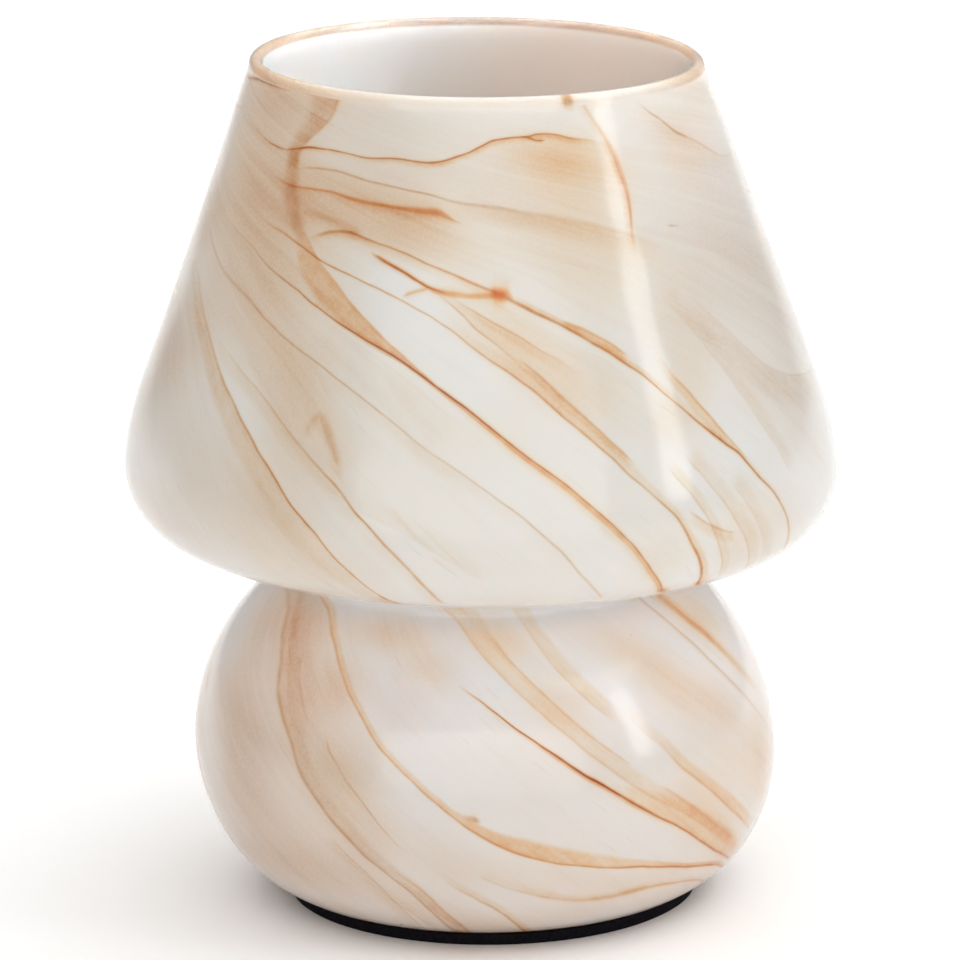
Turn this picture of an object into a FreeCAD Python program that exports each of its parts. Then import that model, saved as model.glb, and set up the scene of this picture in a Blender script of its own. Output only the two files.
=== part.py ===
import FreeCAD, Part
import math
import os
import Sketcher
from FreeCAD import Placement, Rotation, Vector

# A table lamp blown in one piece of glass: an open cone-shaped shade, a pinched waist and a round
# base, with a foot pad, a sprung base plate, a stem, a lampholder and a screw-in bulb inside.
# Millimetres. Z is up, the origin is the centre of the surface that the lamp stands on, and -Y is
# the front. The cord's inlet is at the back.

doc = FreeCAD.newDocument("glass_table_lamp")
sheet = doc.addObject("Spreadsheet::Sheet", "Dimensions")


class Dim:
    """A length with its value and the expression that gives it from the sheet."""

    def __init__(self, value, text):
        self.value = float(value)
        self.text = text

    def _join(self, other, sign, value, swap=False):
        right = other.text if isinstance(other, Dim) else repr(float(other))
        left = self.text
        if swap:
            left, right = right, left
        return Dim(value, "(%s %s %s)" % (left, sign, right))

    def __add__(self, other):
        return self._join(other, "+", self.value + num(other))

    def __radd__(self, other):
        return self._join(other, "+", num(other) + self.value, True)

    def __sub__(self, other):
        return self._join(other, "-", self.value - num(other))

    def __rsub__(self, other):
        return self._join(other, "-", num(other) - self.value, True)

    def __mul__(self, other):
        return self._join(other, "*", self.value * num(other))

    def __rmul__(self, other):
        return self._join(other, "*", num(other) * self.value, True)

    def __truediv__(self, other):
        return self._join(other, "/", self.value / num(other))


def num(x):
    return x.value if isinstance(x, Dim) else float(x)


row = 0


def cells(title, *entries):
    """Writes one titled block of cells and returns their dimensions in order."""
    global row
    row += 1
    sheet.set("A%d" % row, title)
    made = []
    for alias, value, note in entries:
        row += 1
        sheet.set("A%d" % row, alias)
        sheet.set("B%d" % row, str(value))
        sheet.set("C%d" % row, note)
        sheet.setAlias("B%d" % row, alias)
        made.append(Dim(value, "Dimensions." + alias))
    return made


# ---------------------------------------------------------------- dimensions

(total_height, pad_thick, glass_wall, rim_radius, lip_round, flank_radius, flank_z, shoulder_arc,
 shoulder_z, corner_arc, corner_radius, under_radius, crease_arc, crease_z, dome_arc, dome_z,
 belly_arc, belly_z, foot_arc) = cells(
    "Glass body",
    ("total_height", 240, "foot to lip"),
    ("pad_thick", 3.3, "foot pad, so the glass starts here"),
    ("glass_wall", 3.6, "wall of the blown glass"),
    ("rim_radius", 62.2, "outside of the shade's open top"),
    ("lip_round", 1.75, "fire-polished edge of the lip"),
    ("flank_radius", 95.26, "end of the straight flank"),
    ("flank_z", 147.63, "height of that end"),
    ("shoulder_arc", 91.0, "slow curve into the shoulder"),
    ("shoulder_z", 126.87, "its end"),
    ("corner_arc", 20.5, "shoulder's lower curve"),
    ("corner_radius", 84.06, "where it meets the underside"),
    ("under_radius", 60.55, "inner end of the shade's underside"),
    ("crease_arc", 4.0, "hollow curve of the waist"),
    ("crease_z", 92.5, "its lower end"),
    ("dome_arc", 68.0, "top of the base"),
    ("dome_z", 51.38, "its end"),
    ("belly_arc", 49.5, "side of the base"),
    ("belly_z", 19.74, "its end"),
    ("foot_arc", 37.1, "turn in to the ground foot"))

pad_outer, pad_inner, pad_shift, pad_edge = cells(
    "Foot pad",
    ("pad_outer", 58.2, "outside radius"),
    ("pad_inner", 41.0, "inside radius"),
    ("pad_shift", 1.8, "set off centre towards +X"),
    ("pad_edge", 0.5, "rounded edge"))

(plate_radius, plate_thick, dish_foot, dish_top, dish_rise, cone_run, cone_step, tube_clear,
 rivet_ring, rivet_hole, bend_round) = cells(
    "Base plate",
    ("plate_radius", 46.8, "disc inside the glass opening"),
    ("plate_thick", 1.2, "sheet"),
    ("dish_foot", 24.0, "underside radius where the dish starts"),
    ("dish_top", 19.4, "underside radius at the dish's top"),
    ("dish_rise", 8.0, "height of the dish"),
    ("cone_run", 0.7, "outside cone radius less its underside, at the foot"),
    ("cone_step", 0.7, "the same at the top"),
    ("tube_clear", 0.06, "radial clearance of holes on the stem"),
    ("rivet_ring", 36.0, "radius of the rivet circle"),
    ("rivet_hole", 1.65, "rivet hole radius"),
    ("bend_round", 0.8, "pressed bends"))

(clip_width, clip_thick, clip_start, clip_bend, clip_peak, clip_rise, clip_tip, clip_tip_z,
 sleeve_radius, sleeve_width, rivet_shank, rivet_head, head_thick) = cells(
    "Spring clips",
    ("clip_width", 9.0, "strip width"),
    ("clip_thick", 0.6, "strip thickness"),
    ("clip_start", 29.5, "inner end of the flat foot"),
    ("clip_bend", 41.0, "foot's outer end"),
    ("clip_peak", 44.9, "top of the arm, from the axis"),
    ("clip_rise", 10.6, "top of the arm, above the plate's underside"),
    ("clip_tip", 57.4, "tip, from the axis"),
    ("clip_tip_z", 6.3, "tip, above the plate's underside"),
    ("sleeve_radius", 1.5, "rubber sleeve on the tip"),
    ("sleeve_width", 10.6, "its length"),
    ("rivet_shank", 1.6, "rivet shank radius"),
    ("rivet_head", 3.0, "rivet head radius"),
    ("head_thick", 1.0, "rivet head thickness"))

(inlet_z, inlet_tilt, inlet_hole, inlet_bore, inlet_flange, inlet_lip, inlet_groove,
 inlet_round) = cells(
    "Cord inlet",
    ("inlet_z", 22.0, "height of the hole on the outside of the glass"),
    ("inlet_tilt", 25.9, "its axis points this many degrees below level"),
    ("inlet_hole", 5.2, "hole in the glass"),
    ("inlet_bore", 3.0, "grommet's bore"),
    ("inlet_flange", 7.2, "grommet's flanges"),
    ("inlet_lip", 1.4, "flange thickness"),
    ("inlet_groove", 4.5, "groove between the flanges"),
    ("inlet_round", 0.6, "rounded flange edges"))

(stem_radius, stem_bore, stem_low, stem_high, slot_low, slot_high, slot_width, nut_flats,
 nut_thick, washer_radius, washer_thick, lock_radius, lock_thick, lock_notch) = cells(
    "Stem",
    ("stem_radius", 5.0, "M10 x 1 tube"),
    ("stem_bore", 3.8, "its bore"),
    ("stem_low", 5.6, "lower end, above the surface"),
    ("stem_high", 72.4, "upper end, above the surface"),
    ("slot_low", 22.0, "wire slot, lower end"),
    ("slot_high", 31.0, "wire slot, upper end"),
    ("slot_width", 5.2, "wire slot width"),
    ("nut_flats", 14.0, "across the flats"),
    ("nut_thick", 3.0, "thickness"),
    ("washer_radius", 9.0, "plain washer"),
    ("washer_thick", 1.0, "its thickness"),
    ("lock_radius", 8.7, "toothed washer"),
    ("lock_thick", 0.8, "its thickness"),
    ("lock_notch", 0.9, "notch between teeth"))

(cap_low, boss_radius, boss_rise, cap_radius, cap_flare, cap_rise, cap_bore, ledge_radius,
 ledge_z, throat_radius, throat_z, floor_z, grub_z, grub_radius, grub_out) = cells(
    "Lampholder cap",
    ("cap_low", 62.0, "its lower face, above the surface"),
    ("boss_radius", 8.0, "threaded boss"),
    ("boss_rise", 6.5, "boss length"),
    ("cap_radius", 13.9, "outside"),
    ("cap_flare", 12.5, "height where the outside turns straight"),
    ("cap_rise", 20.0, "height of the cap"),
    ("cap_bore", 12.5, "thread for the skirt"),
    ("ledge_radius", 9.8, "ledge under the insert"),
    ("ledge_z", 13.2, "ledge height"),
    ("throat_radius", 7.5, "inside cone's foot"),
    ("throat_z", 11.5, "inside cone's top"),
    ("floor_z", 9.0, "inside floor"),
    ("grub_z", 3.4, "set screw height"),
    ("grub_radius", 1.45, "set screw"),
    ("grub_out", 9.6, "its outer end, from the axis"))

(insert_radius, insert_flange, flange_thick, insert_high, pocket_side, pocket_x, pocket_deep,
 block_side, block_tall, block_bore, screw_z, screw_shank, screw_head, screw_head_in,
 screw_out, screw_in, post_radius) = cells(
    "Lampholder insert and terminals",
    ("insert_radius", 10.9, "moulded insert"),
    ("insert_flange", 12.2, "flange held between cap and skirt"),
    ("flange_thick", 1.8, "flange thickness"),
    ("insert_high", 15.8, "height of the insert"),
    ("pocket_side", 5.4, "terminal pocket"),
    ("pocket_x", 6.5, "centre of a terminal, from the axis"),
    ("pocket_deep", 9.8, "depth of the pocket, from below"),
    ("block_side", 5.0, "brass terminal"),
    ("block_tall", 7.4, "its height"),
    ("block_bore", 1.4, "wire hole"),
    ("screw_z", 5.0, "screw height above the insert's foot"),
    ("screw_shank", 1.2, "clamping screw"),
    ("screw_head", 1.9, "its head"),
    ("screw_head_in", 9.2, "underside of the head, from the axis"),
    ("screw_out", 10.5, "top of the head, from the axis"),
    ("screw_in", 8.0, "end of the screw, from the axis"),
    ("post_radius", 2.0, "clearance hole in the insert for the head"))

(skirt_low, skirt_thread, skirt_step, skirt_radius, skirt_band, skirt_top, skirt_rise,
 skirt_bore, skirt_mouth, skirt_lip, shell_low, shell_outer, shell_bore, shell_rise,
 shell_flange, shell_sheet, strip_thick, strip_width, leaf_x, leaf_z) = cells(
    "Lampholder skirt, shell and contacts",
    ("skirt_low", 77.0, "its lower end, above the surface"),
    ("skirt_thread", 12.4, "threaded part"),
    ("skirt_step", 5.0, "length of that part"),
    ("skirt_radius", 13.9, "outside"),
    ("skirt_band", 9.0, "height of the gripping band"),
    ("skirt_top", 13.1, "outside at the mouth"),
    ("skirt_rise", 30.5, "height of the skirt"),
    ("skirt_bore", 11.1, "inside"),
    ("skirt_mouth", 8.6, "mouth"),
    ("skirt_lip", 1.4, "thickness of the mouth's ring"),
    ("shell_low", 91.4, "threaded shell's foot, above the surface"),
    ("shell_outer", 7.65, "shell's outside"),
    ("shell_bore", 7.15, "shell's inside"),
    ("shell_rise", 14.2, "its height"),
    ("shell_flange", 9.6, "its flange"),
    ("shell_sheet", 0.5, "its sheet"),
    ("strip_thick", 0.4, "contact strips"),
    ("strip_width", 4.0, "their width"),
    ("leaf_x", 5.0, "tail of the centre contact, from the axis"),
    ("leaf_z", 3.5, "height of the leaf above the insert"))

(bulb_low, tip_radius, tip_thick, ring_radius, ring_rise, plug_radius, plug_rise, can_low,
 can_lip, can_radius, can_wall, can_thread, flare_radius, flare_z, can_rise, neck_radius,
 neck_z, neck_arc, globe_radius, globe_top, bulb_wall) = cells(
    "Bulb",
    ("bulb_low", 94.6, "tip, above the surface"),
    ("tip_radius", 2.6, "contact tip"),
    ("tip_thick", 1.2, "its height"),
    ("ring_radius", 3.1, "insulator's foot"),
    ("ring_rise", 0.6, "its height above the tip"),
    ("plug_radius", 5.75, "insulator"),
    ("plug_rise", 4.9, "its top above the tip"),
    ("can_low", 3.2, "screw cap's lower edge above the tip"),
    ("can_lip", 6.1, "its radius there"),
    ("can_radius", 6.95, "E14 screw cap"),
    ("can_wall", 0.45, "its sheet"),
    ("can_thread", 18.4, "top of the thread above the tip"),
    ("flare_radius", 8.5, "flared collar"),
    ("flare_z", 21.4, "where the flare ends"),
    ("can_rise", 25.4, "top of the cap"),
    ("neck_radius", 7.95, "neck of the glass"),
    ("neck_z", 22.4, "lower end of the neck"),
    ("neck_arc", 14.0, "hollow curve of the neck"),
    ("globe_radius", 22.5, "globe"),
    ("globe_top", 78.0, "top of the globe above the tip"),
    ("bulb_wall", 0.7, "glass of the bulb"))

(mount_flange, mount_low, mount_tube, mount_tube_z, mount_pinch_z, mount_rod, mount_rod_z,
 mount_top, mount_button, mount_wall, led_radius, led_low, led_high, led_foot, led_head,
 wire_radius, board_width, board_thick, board_low, board_tall, can_part_radius,
 can_part_tall) = cells(
    "Inside the bulb",
    ("mount_flange", 7.1, "glass mount, flared foot"),
    ("mount_low", 23.6, "its lower edge above the tip"),
    ("mount_tube", 3.3, "its tube"),
    ("mount_tube_z", 30.0, "where the tube starts"),
    ("mount_pinch_z", 36.0, "pinched top of the tube"),
    ("mount_rod", 1.2, "glass rod"),
    ("mount_rod_z", 38.5, "foot of the rod"),
    ("mount_top", 70.4, "top of the rod"),
    ("mount_button", 2.0, "button at its top"),
    ("mount_wall", 0.8, "glass of the mount"),
    ("led_radius", 0.95, "filament strip"),
    ("led_low", 42.0, "filaments' lower end above the tip"),
    ("led_high", 68.0, "their upper end"),
    ("led_foot", 7.2, "lower ends, from the axis"),
    ("led_head", 4.2, "upper ends, from the axis"),
    ("wire_radius", 0.25, "wires"),
    ("board_width", 8.4, "driver board"),
    ("board_thick", 1.0, "its thickness"),
    ("board_low", 6.2, "its lower edge above the tip"),
    ("board_tall", 13.0, "its height"),
    ("can_part_radius", 1.8, "capacitor"),
    ("can_part_tall", 6.0, "its length"))

doc.recompute()

# ---------------------------------------------------------------- helpers

FULL_TURN = 360.0
parts = []


def plane(body, role):
    for feature in body.Origin.OriginFeatures:
        if feature.Role == role:
            return feature
    raise RuntimeError("no plane " + role)


def new_body(label):
    body = doc.addObject("PartDesign::Body", label)
    body.Label = label
    parts.append(body)
    return body


def place(obj, x=0, y=0, z=0, rotation=None):
    """Sets a Placement, with its lengths bound to the sheet where they come from it."""
    obj.Placement = Placement(Vector(num(x), num(y), num(z)), rotation or Rotation())
    for name, value in (("x", x), ("y", y), ("z", z)):
        if isinstance(value, Dim):
            obj.setExpression("Placement.Base." + name, value.text)


def bind(obj, prop, value):
    setattr(obj, prop, num(value))
    if isinstance(value, Dim):
        obj.setExpression(prop, value.text)


def new_sketch(body, name, role="XZ_Plane", offset=None):
    sketch = body.newObject("Sketcher::SketchObject", name)
    sketch.AttachmentSupport = (plane(body, role), [""])
    sketch.MapMode = "FlatFace"
    if offset is not None:
        sketch.AttachmentOffset = offset
    return sketch


def limit(sketch, *what):
    """Adds a constraint; a Dim as its last value is bound to the sheet."""
    value = what[-1]
    if isinstance(value, Dim):
        index = sketch.addConstraint(Sketcher.Constraint(*what[:-1], value.value))
        sketch.setExpression("Constraints[%d]" % index, value.text)
    else:
        index = sketch.addConstraint(Sketcher.Constraint(*what))
    return index


def fix_point(sketch, geo, pos, x, y):
    """Fixes a point by its two coordinates, each a number or a Dim."""
    for kind, value, axis in (("DistanceX", x, -2), ("DistanceY", y, -1)):
        if num(value) == 0.0 and not isinstance(value, Dim):
            limit(sketch, "PointOnObject", geo, pos, axis)
        elif num(value) < 0:
            flipped = Dim(-value.value, "(0 - %s)" % value.text) if isinstance(value, Dim) else -value
            limit(sketch, kind, geo, pos, -1, 1, flipped)
        else:
            limit(sketch, kind, -1, 1, geo, pos, value)


def polygon(sketch, points):
    """A closed outline of straight lines through points given as numbers or Dims."""
    count = len(points)
    spots = [Vector(num(x), num(y), 0) for x, y in points]
    for i in range(count):
        sketch.addGeometry(Part.LineSegment(spots[i], spots[(i + 1) % count]), False)
    for i in range(count):
        sketch.addConstraint(Sketcher.Constraint("Coincident", i, 2, (i + 1) % count, 1))
    for i, (x, y) in enumerate(points):
        fix_point(sketch, i, 1, x, y)


def circle(sketch, x, y, radius):
    geo = sketch.addGeometry(Part.Circle(Vector(num(x), num(y), 0), Vector(0, 0, 1), num(radius)), False)
    limit(sketch, "Radius", geo, radius)
    if num(x) == 0.0 and num(y) == 0.0:
        sketch.addConstraint(Sketcher.Constraint("Coincident", geo, 3, -1, 1))
    else:
        fix_point(sketch, geo, 3, x, y)
    return geo


def revolve(body, sketch, name):
    feature = body.newObject("PartDesign::Revolution", name)
    feature.Profile = sketch
    feature.ReferenceAxis = (sketch, ["V_Axis"])
    feature.Angle = FULL_TURN
    return feature


def turned(label, points, **where):
    """A body turned from one closed outline of (radius, height)."""
    body = new_body(label)
    sketch = new_sketch(body, label + "_outline")
    polygon(sketch, points)
    feature = revolve(body, sketch, label + "_turned")
    place(body, **where)
    doc.recompute()
    return body, feature


def pad(body, sketch, name, length, middle=False):
    feature = body.newObject("PartDesign::Pad", name)
    feature.Profile = sketch
    bind(feature, "Length", length)
    feature.Midplane = middle
    return feature


def pocket(body, sketch, name, length, reverse=False, middle=False):
    """Cuts a pocket and makes sure that it takes material away."""
    doc.recompute()
    before = body.Shape.Volume
    feature = body.newObject("PartDesign::Pocket", name)
    feature.Profile = sketch
    bind(feature, "Length", length)
    feature.Reversed = reverse
    feature.Midplane = middle
    doc.recompute()
    if body.Shape.Volume > before - 1e-3:
        raise RuntimeError(name + " cuts nothing")
    return feature


def ring_pattern(body, name, features, sketch, count, axis="N_Axis"):
    feature = body.newObject("PartDesign::PolarPattern", name)
    feature.Originals = features
    feature.Axis = (sketch, [axis])
    feature.Angle = FULL_TURN
    feature.Occurrences = count
    body.Tip = feature
    doc.recompute()
    return feature


def circle_edges(feature, wanted):
    """Names of the feature's round edges at the given (radius, height) pairs."""
    names = []
    for i, edge in enumerate(feature.Shape.Edges):
        curve = edge.Curve
        if curve.TypeId != "Part::GeomCircle":
            continue
        for radius, height in wanted:
            if abs(curve.Radius - num(radius)) < 0.02 and abs(curve.Center.z - num(height)) < 0.02:
                names.append("Edge%d" % (i + 1))
    return names


def fillet(body, base, name, edges, radius):
    if not edges:
        raise RuntimeError(name + " has no edges")
    feature = body.newObject("PartDesign::Fillet", name)
    feature.Base = (base, edges)
    bind(feature, "Radius", radius)
    doc.recompute()
    return feature


# ---------------------------------------------------------------- glass body

# The outline runs from the lip down the flank, round the shoulder, in along the underside,
# through the crease of the waist and down over the base to the ground foot. Every curve is
# tangent to the next, as in blown glass.

glass = new_body("glass_body")
outline = new_sketch(glass, "glass_outline")


def right_of(p, heading, radius):
    return (p[0] + radius * math.sin(heading), p[1] - radius * math.cos(heading))


chain = []
lip = (rim_radius.value, total_height.value)
point = (flank_radius.value, flank_z.value)
heading = math.atan2(point[1] - lip[1], point[0] - lip[0])
# each entry: radius, side of the centre (1 right, -1 left), which coordinate ends it, its value
steps = [
    ("arc", shoulder_arc, 1, "z", shoulder_z, 1),
    ("arc", corner_arc, 1, "r", corner_radius, -1),
    ("line", None, 0, "r", under_radius, 0),
    ("arc", crease_arc, -1, "z", crease_z, -1),
    ("arc", dome_arc, 1, "z", dome_z, 1),
    ("arc", belly_arc, 1, "z", belly_z, 1),
    ("arc", foot_arc, 1, "z", pad_thick, 1),
]
outline.addGeometry(Part.LineSegment(Vector(lip[0], lip[1], 0), Vector(point[0], point[1], 0)), False)
ends = [(0, 1, 2)]  # geometry, start position, end position
for kind, radius, side, coordinate, stop, branch in steps:
    target = stop.value
    if kind == "line":
        end = (target, point[1] + math.tan(heading) * (target - point[0]))
        geo = outline.addGeometry(Part.LineSegment(Vector(point[0], point[1], 0), Vector(end[0], end[1], 0)), False)
        ends.append((geo, 1, 2))
    else:
        size = radius.value
        centre = right_of(point, heading, size * side)
        if coordinate == "z":
            reach = math.sqrt(size * size - (target - centre[1]) ** 2)
            end = (centre[0] + branch * reach, target)
        else:
            reach = math.sqrt(size * size - (target - centre[0]) ** 2)
            end = (target, centre[1] + branch * reach)
        start_angle = math.atan2(point[1] - centre[1], point[0] - centre[0])
        end_angle = math.atan2(end[1] - centre[1], end[0] - centre[0])
        round_curve = Part.Circle(Vector(centre[0], centre[1], 0), Vector(0, 0, 1), size)
        if side > 0:
            first, last = end_angle, start_angle
        else:
            first, last = start_angle, end_angle
        while last < first:
            last += 2 * math.pi
        geo = outline.addGeometry(Part.ArcOfCircle(round_curve, first, last), False)
        ends.append((geo, 2, 1) if side > 0 else (geo, 1, 2))
        heading = end_angle - math.pi / 2 if side > 0 else end_angle + math.pi / 2
    chain.append((kind, radius, coordinate, stop))
    point = end
foot_radius = point[0]
foot_line = outline.addGeometry(Part.LineSegment(Vector(foot_radius, pad_thick.value, 0), Vector(0, pad_thick.value, 0)), False)
axis_line = outline.addGeometry(Part.LineSegment(Vector(0, pad_thick.value, 0), Vector(0, lip[1], 0)), False)
top_line = outline.addGeometry(Part.LineSegment(Vector(0, lip[1], 0), Vector(lip[0], lip[1], 0)), False)
for (geo_a, _, last_a), (geo_b, first_b, _) in zip(ends, ends[1:]):
    outline.addConstraint(Sketcher.Constraint("Tangent", geo_a, last_a, geo_b, first_b))
outline.addConstraint(Sketcher.Constraint("Coincident", ends[-1][0], ends[-1][2], foot_line, 1))
outline.addConstraint(Sketcher.Constraint("Coincident", foot_line, 2, axis_line, 1))
outline.addConstraint(Sketcher.Constraint("Coincident", axis_line, 2, top_line, 1))
outline.addConstraint(Sketcher.Constraint("Coincident", top_line, 2, 0, 1))
outline.addConstraint(Sketcher.Constraint("Horizontal", foot_line))
outline.addConstraint(Sketcher.Constraint("Horizontal", top_line))
outline.addConstraint(Sketcher.Constraint("PointOnObject", axis_line, 1, -2))
outline.addConstraint(Sketcher.Constraint("PointOnObject", axis_line, 2, -2))
fix_point(outline, 0, 1, rim_radius, total_height)
fix_point(outline, 0, 2, flank_radius, flank_z)
for (geo, _, last), (kind, radius, coordinate, stop) in zip(ends[1:], chain):
    if kind == "arc":
        limit(outline, "Radius", geo, radius)
    limit(outline, "DistanceY" if coordinate == "z" else "DistanceX", -1, 1, geo, last, stop)
turned_glass = revolve(glass, outline, "glass_turned")
doc.recompute()

# Hollow: the wall is taken inwards from the outside, with the open top and the ground foot open.
flat_faces = []
for i, face in enumerate(turned_glass.Shape.Faces):
    if face.Surface.TypeId == "Part::GeomPlane":
        flat_faces.append("Face%d" % (i + 1))
hollow = glass.newObject("PartDesign::Thickness", "glass_hollow")
hollow.Base = (turned_glass, flat_faces)
bind(hollow, "Value", glass_wall)
hollow.Reversed = True
hollow.Mode = 0
hollow.Join = 0
doc.recompute()
lip_edges = []
for i, edge in enumerate(hollow.Shape.Edges):
    if edge.Curve.TypeId == "Part::GeomCircle" and abs(edge.Curve.Center.z - total_height.value) < 0.01:
        lip_edges.append("Edge%d" % (i + 1))
rounded = fillet(glass, hollow, "glass_lip", lip_edges, lip_round)

# The inlet hole is drilled square to the glass, low at the back.
belly_centre = None
for geo, (kind, radius, coordinate, stop) in zip([e[0] for e in ends[1:]], chain):
    if radius is belly_arc:
        belly_centre = outline.Geometry[geo].Center
inlet_out = math.sqrt(belly_arc.value ** 2 - (inlet_z.value - belly_centre.y) ** 2)
inlet_r = belly_centre.x + inlet_out
normal_tilt = math.degrees(math.atan2(belly_centre.y - inlet_z.value, inlet_out))
if abs(normal_tilt - inlet_tilt.value) > 0.5:
    raise RuntimeError("inlet_tilt should be %.1f" % normal_tilt)
tilt = math.radians(inlet_tilt.value)
inlet_axis = Vector(0, math.cos(tilt), -math.sin(tilt))
inlet_turn = Rotation(Vector(1, 0, 0), -90 - inlet_tilt.value)
inlet_point = Vector(0, inlet_r, inlet_z.value)
# the drilling sketch stands 4 mm outside the glass, facing in along the axis
drill = new_sketch(glass, "inlet_drill", "XY_Plane",
                   Placement(inlet_point + inlet_axis * 4.0, inlet_turn))
circle(drill, 0, 0, inlet_hole)
pocket(glass, drill, "inlet_drilled", 14.0)

# ---------------------------------------------------------------- foot pad

foot_pad, feature = turned("foot_pad", [
    (pad_inner, 0), (pad_outer, 0), (pad_outer, pad_thick), (pad_inner, pad_thick)], x=pad_shift)
fillet(foot_pad, feature, "foot_pad_edge", circle_edges(feature, [(pad_outer, 0)]), pad_edge)

# ---------------------------------------------------------------- base plate

dish_high = dish_rise + plate_thick
base_plate, feature = turned("base_plate", [
    (stem_radius + tube_clear, dish_rise), (dish_top, dish_rise), (dish_foot, 0), (plate_radius, 0),
    (plate_radius, plate_thick), (dish_foot + cone_run, plate_thick), (dish_top + cone_step, dish_high),
    (stem_radius + tube_clear, dish_high)], z=pad_thick)
bends = circle_edges(feature, [(dish_top, dish_rise), (dish_foot, 0), (dish_foot + cone_run, plate_thick),
                               (dish_top + cone_step, dish_high)])
fillet(base_plate, feature, "base_plate_bends", bends, bend_round)
drill = new_sketch(base_plate, "rivet_hole", "XY_Plane")
circle(drill, rivet_ring, 0, rivet_hole)
cut = pocket(base_plate, drill, "rivet_hole_cut", plate_thick * 2, middle=True)
ring_pattern(base_plate, "rivet_holes", [cut], drill, 3)

# ---------------------------------------------------------------- spring clips

# One strip, drawn along its middle line and thickened, then bent up, over and down to the glass.


def strip_points(middle, thick):
    """Offsets a bent middle line to both sides, with mitred corners."""
    half = thick / 2
    directions = []
    for (x0, y0), (x1, y1) in zip(middle, middle[1:]):
        length = math.hypot(x1 - x0, y1 - y0)
        directions.append(((x1 - x0) / length, (y1 - y0) / length))
    left, right = [], []
    for i, (x, y) in enumerate(middle):
        before = directions[max(i - 1, 0)]
        after = directions[min(i, len(directions) - 1)]
        nx, ny = -(before[1] + after[1]), before[0] + after[0]
        size = math.hypot(nx, ny)
        nx, ny = nx / size, ny / size
        scale = half / (nx * -before[1] + ny * before[0])
        left.append((x + nx * scale, y + ny * scale))
        right.append((x - nx * scale, y - ny * scale))
    return left + right[::-1]


clips = new_body("spring_clips")
clip_outline = new_sketch(clips, "clip_outline")
half = clip_thick / 2
top = plate_thick + half
middle = [(clip_start, top), (clip_bend, top), (clip_peak, clip_rise), (clip_tip, clip_tip_z)]
offset_points = strip_points([(num(x), num(y)) for x, y in middle], clip_thick.value)
# the middle line is construction geometry bound to the sheet, and the outline follows it
for (x0, y0), (x1, y1) in zip(middle, middle[1:]):
    clip_outline.addGeometry(Part.LineSegment(Vector(num(x0), num(y0), 0), Vector(num(x1), num(y1), 0)), True)
for i in range(2):
    clip_outline.addConstraint(Sketcher.Constraint("Coincident", i, 2, i + 1, 1))
fix_point(clip_outline, 0, 1, *middle[0])
for i in range(3):
    fix_point(clip_outline, i, 2, *middle[i + 1])
count = len(offset_points)
for i in range(count):
    a, b = offset_points[i], offset_points[(i + 1) % count]
    clip_outline.addGeometry(Part.LineSegment(Vector(a[0], a[1], 0), Vector(b[0], b[1], 0)), False)
for i in range(count):
    clip_outline.addConstraint(Sketcher.Constraint("Coincident", 3 + i, 2, 3 + (i + 1) % count, 1))
for i in range(3):
    clip_outline.addConstraint(Sketcher.Constraint("Parallel", 3 + i, i))
    clip_outline.addConstraint(Sketcher.Constraint("Parallel", 9 - i, i))
for i in range(3):
    limit(clip_outline, "Distance", i, 2, 3 + i, half)
    limit(clip_outline, "Distance", i, 2, 9 - i, half)
clip_outline.addConstraint(Sketcher.Constraint("Perpendicular", 10, 0))
clip_outline.addConstraint(Sketcher.Constraint("PointOnObject", 0, 1, 10))
clip_outline.addConstraint(Sketcher.Constraint("Perpendicular", 6, 2))
clip_outline.addConstraint(Sketcher.Constraint("PointOnObject", 2, 2, 6))
strip = pad(clips, clip_outline, "clip_strip", clip_width, True)
place(clips, z=pad_thick)
doc.recompute()
drill = new_sketch(clips, "clip_hole", "XY_Plane")
circle(drill, rivet_ring, 0, rivet_hole)
hole = pocket(clips, drill, "clip_hole_cut", plate_thick * 4, middle=True)
ring_pattern(clips, "clips_round", [strip, hole], drill, 3)

rivets = new_body("clip_rivets")
rivet_sketch = new_sketch(rivets, "rivet_shank_outline", "XY_Plane")
circle(rivet_sketch, rivet_ring, 0, rivet_shank)
shank = pad(rivets, rivet_sketch, "rivet_shanks", plate_thick + clip_thick)
head_sketch = new_sketch(rivets, "rivet_head_outline", "XY_Plane")
circle(head_sketch, rivet_ring, 0, rivet_head)
lower_head = pad(rivets, head_sketch, "rivet_lower_head", head_thick)
lower_head.Reversed = True
upper_sketch = new_sketch(rivets, "rivet_upper_outline", "XY_Plane",
                          Placement(Vector(0, 0, num(plate_thick + clip_thick)), Rotation()))
upper_sketch.setExpression("AttachmentOffset.Base.z", (plate_thick + clip_thick).text)
circle(upper_sketch, rivet_ring, 0, rivet_head)
upper_head = pad(rivets, upper_sketch, "rivet_upper_head", head_thick)
doc.recompute()
ring_pattern(rivets, "rivets_round", [shank, lower_head, upper_head], rivet_sketch, 3)
place(rivets, z=pad_thick)

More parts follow.
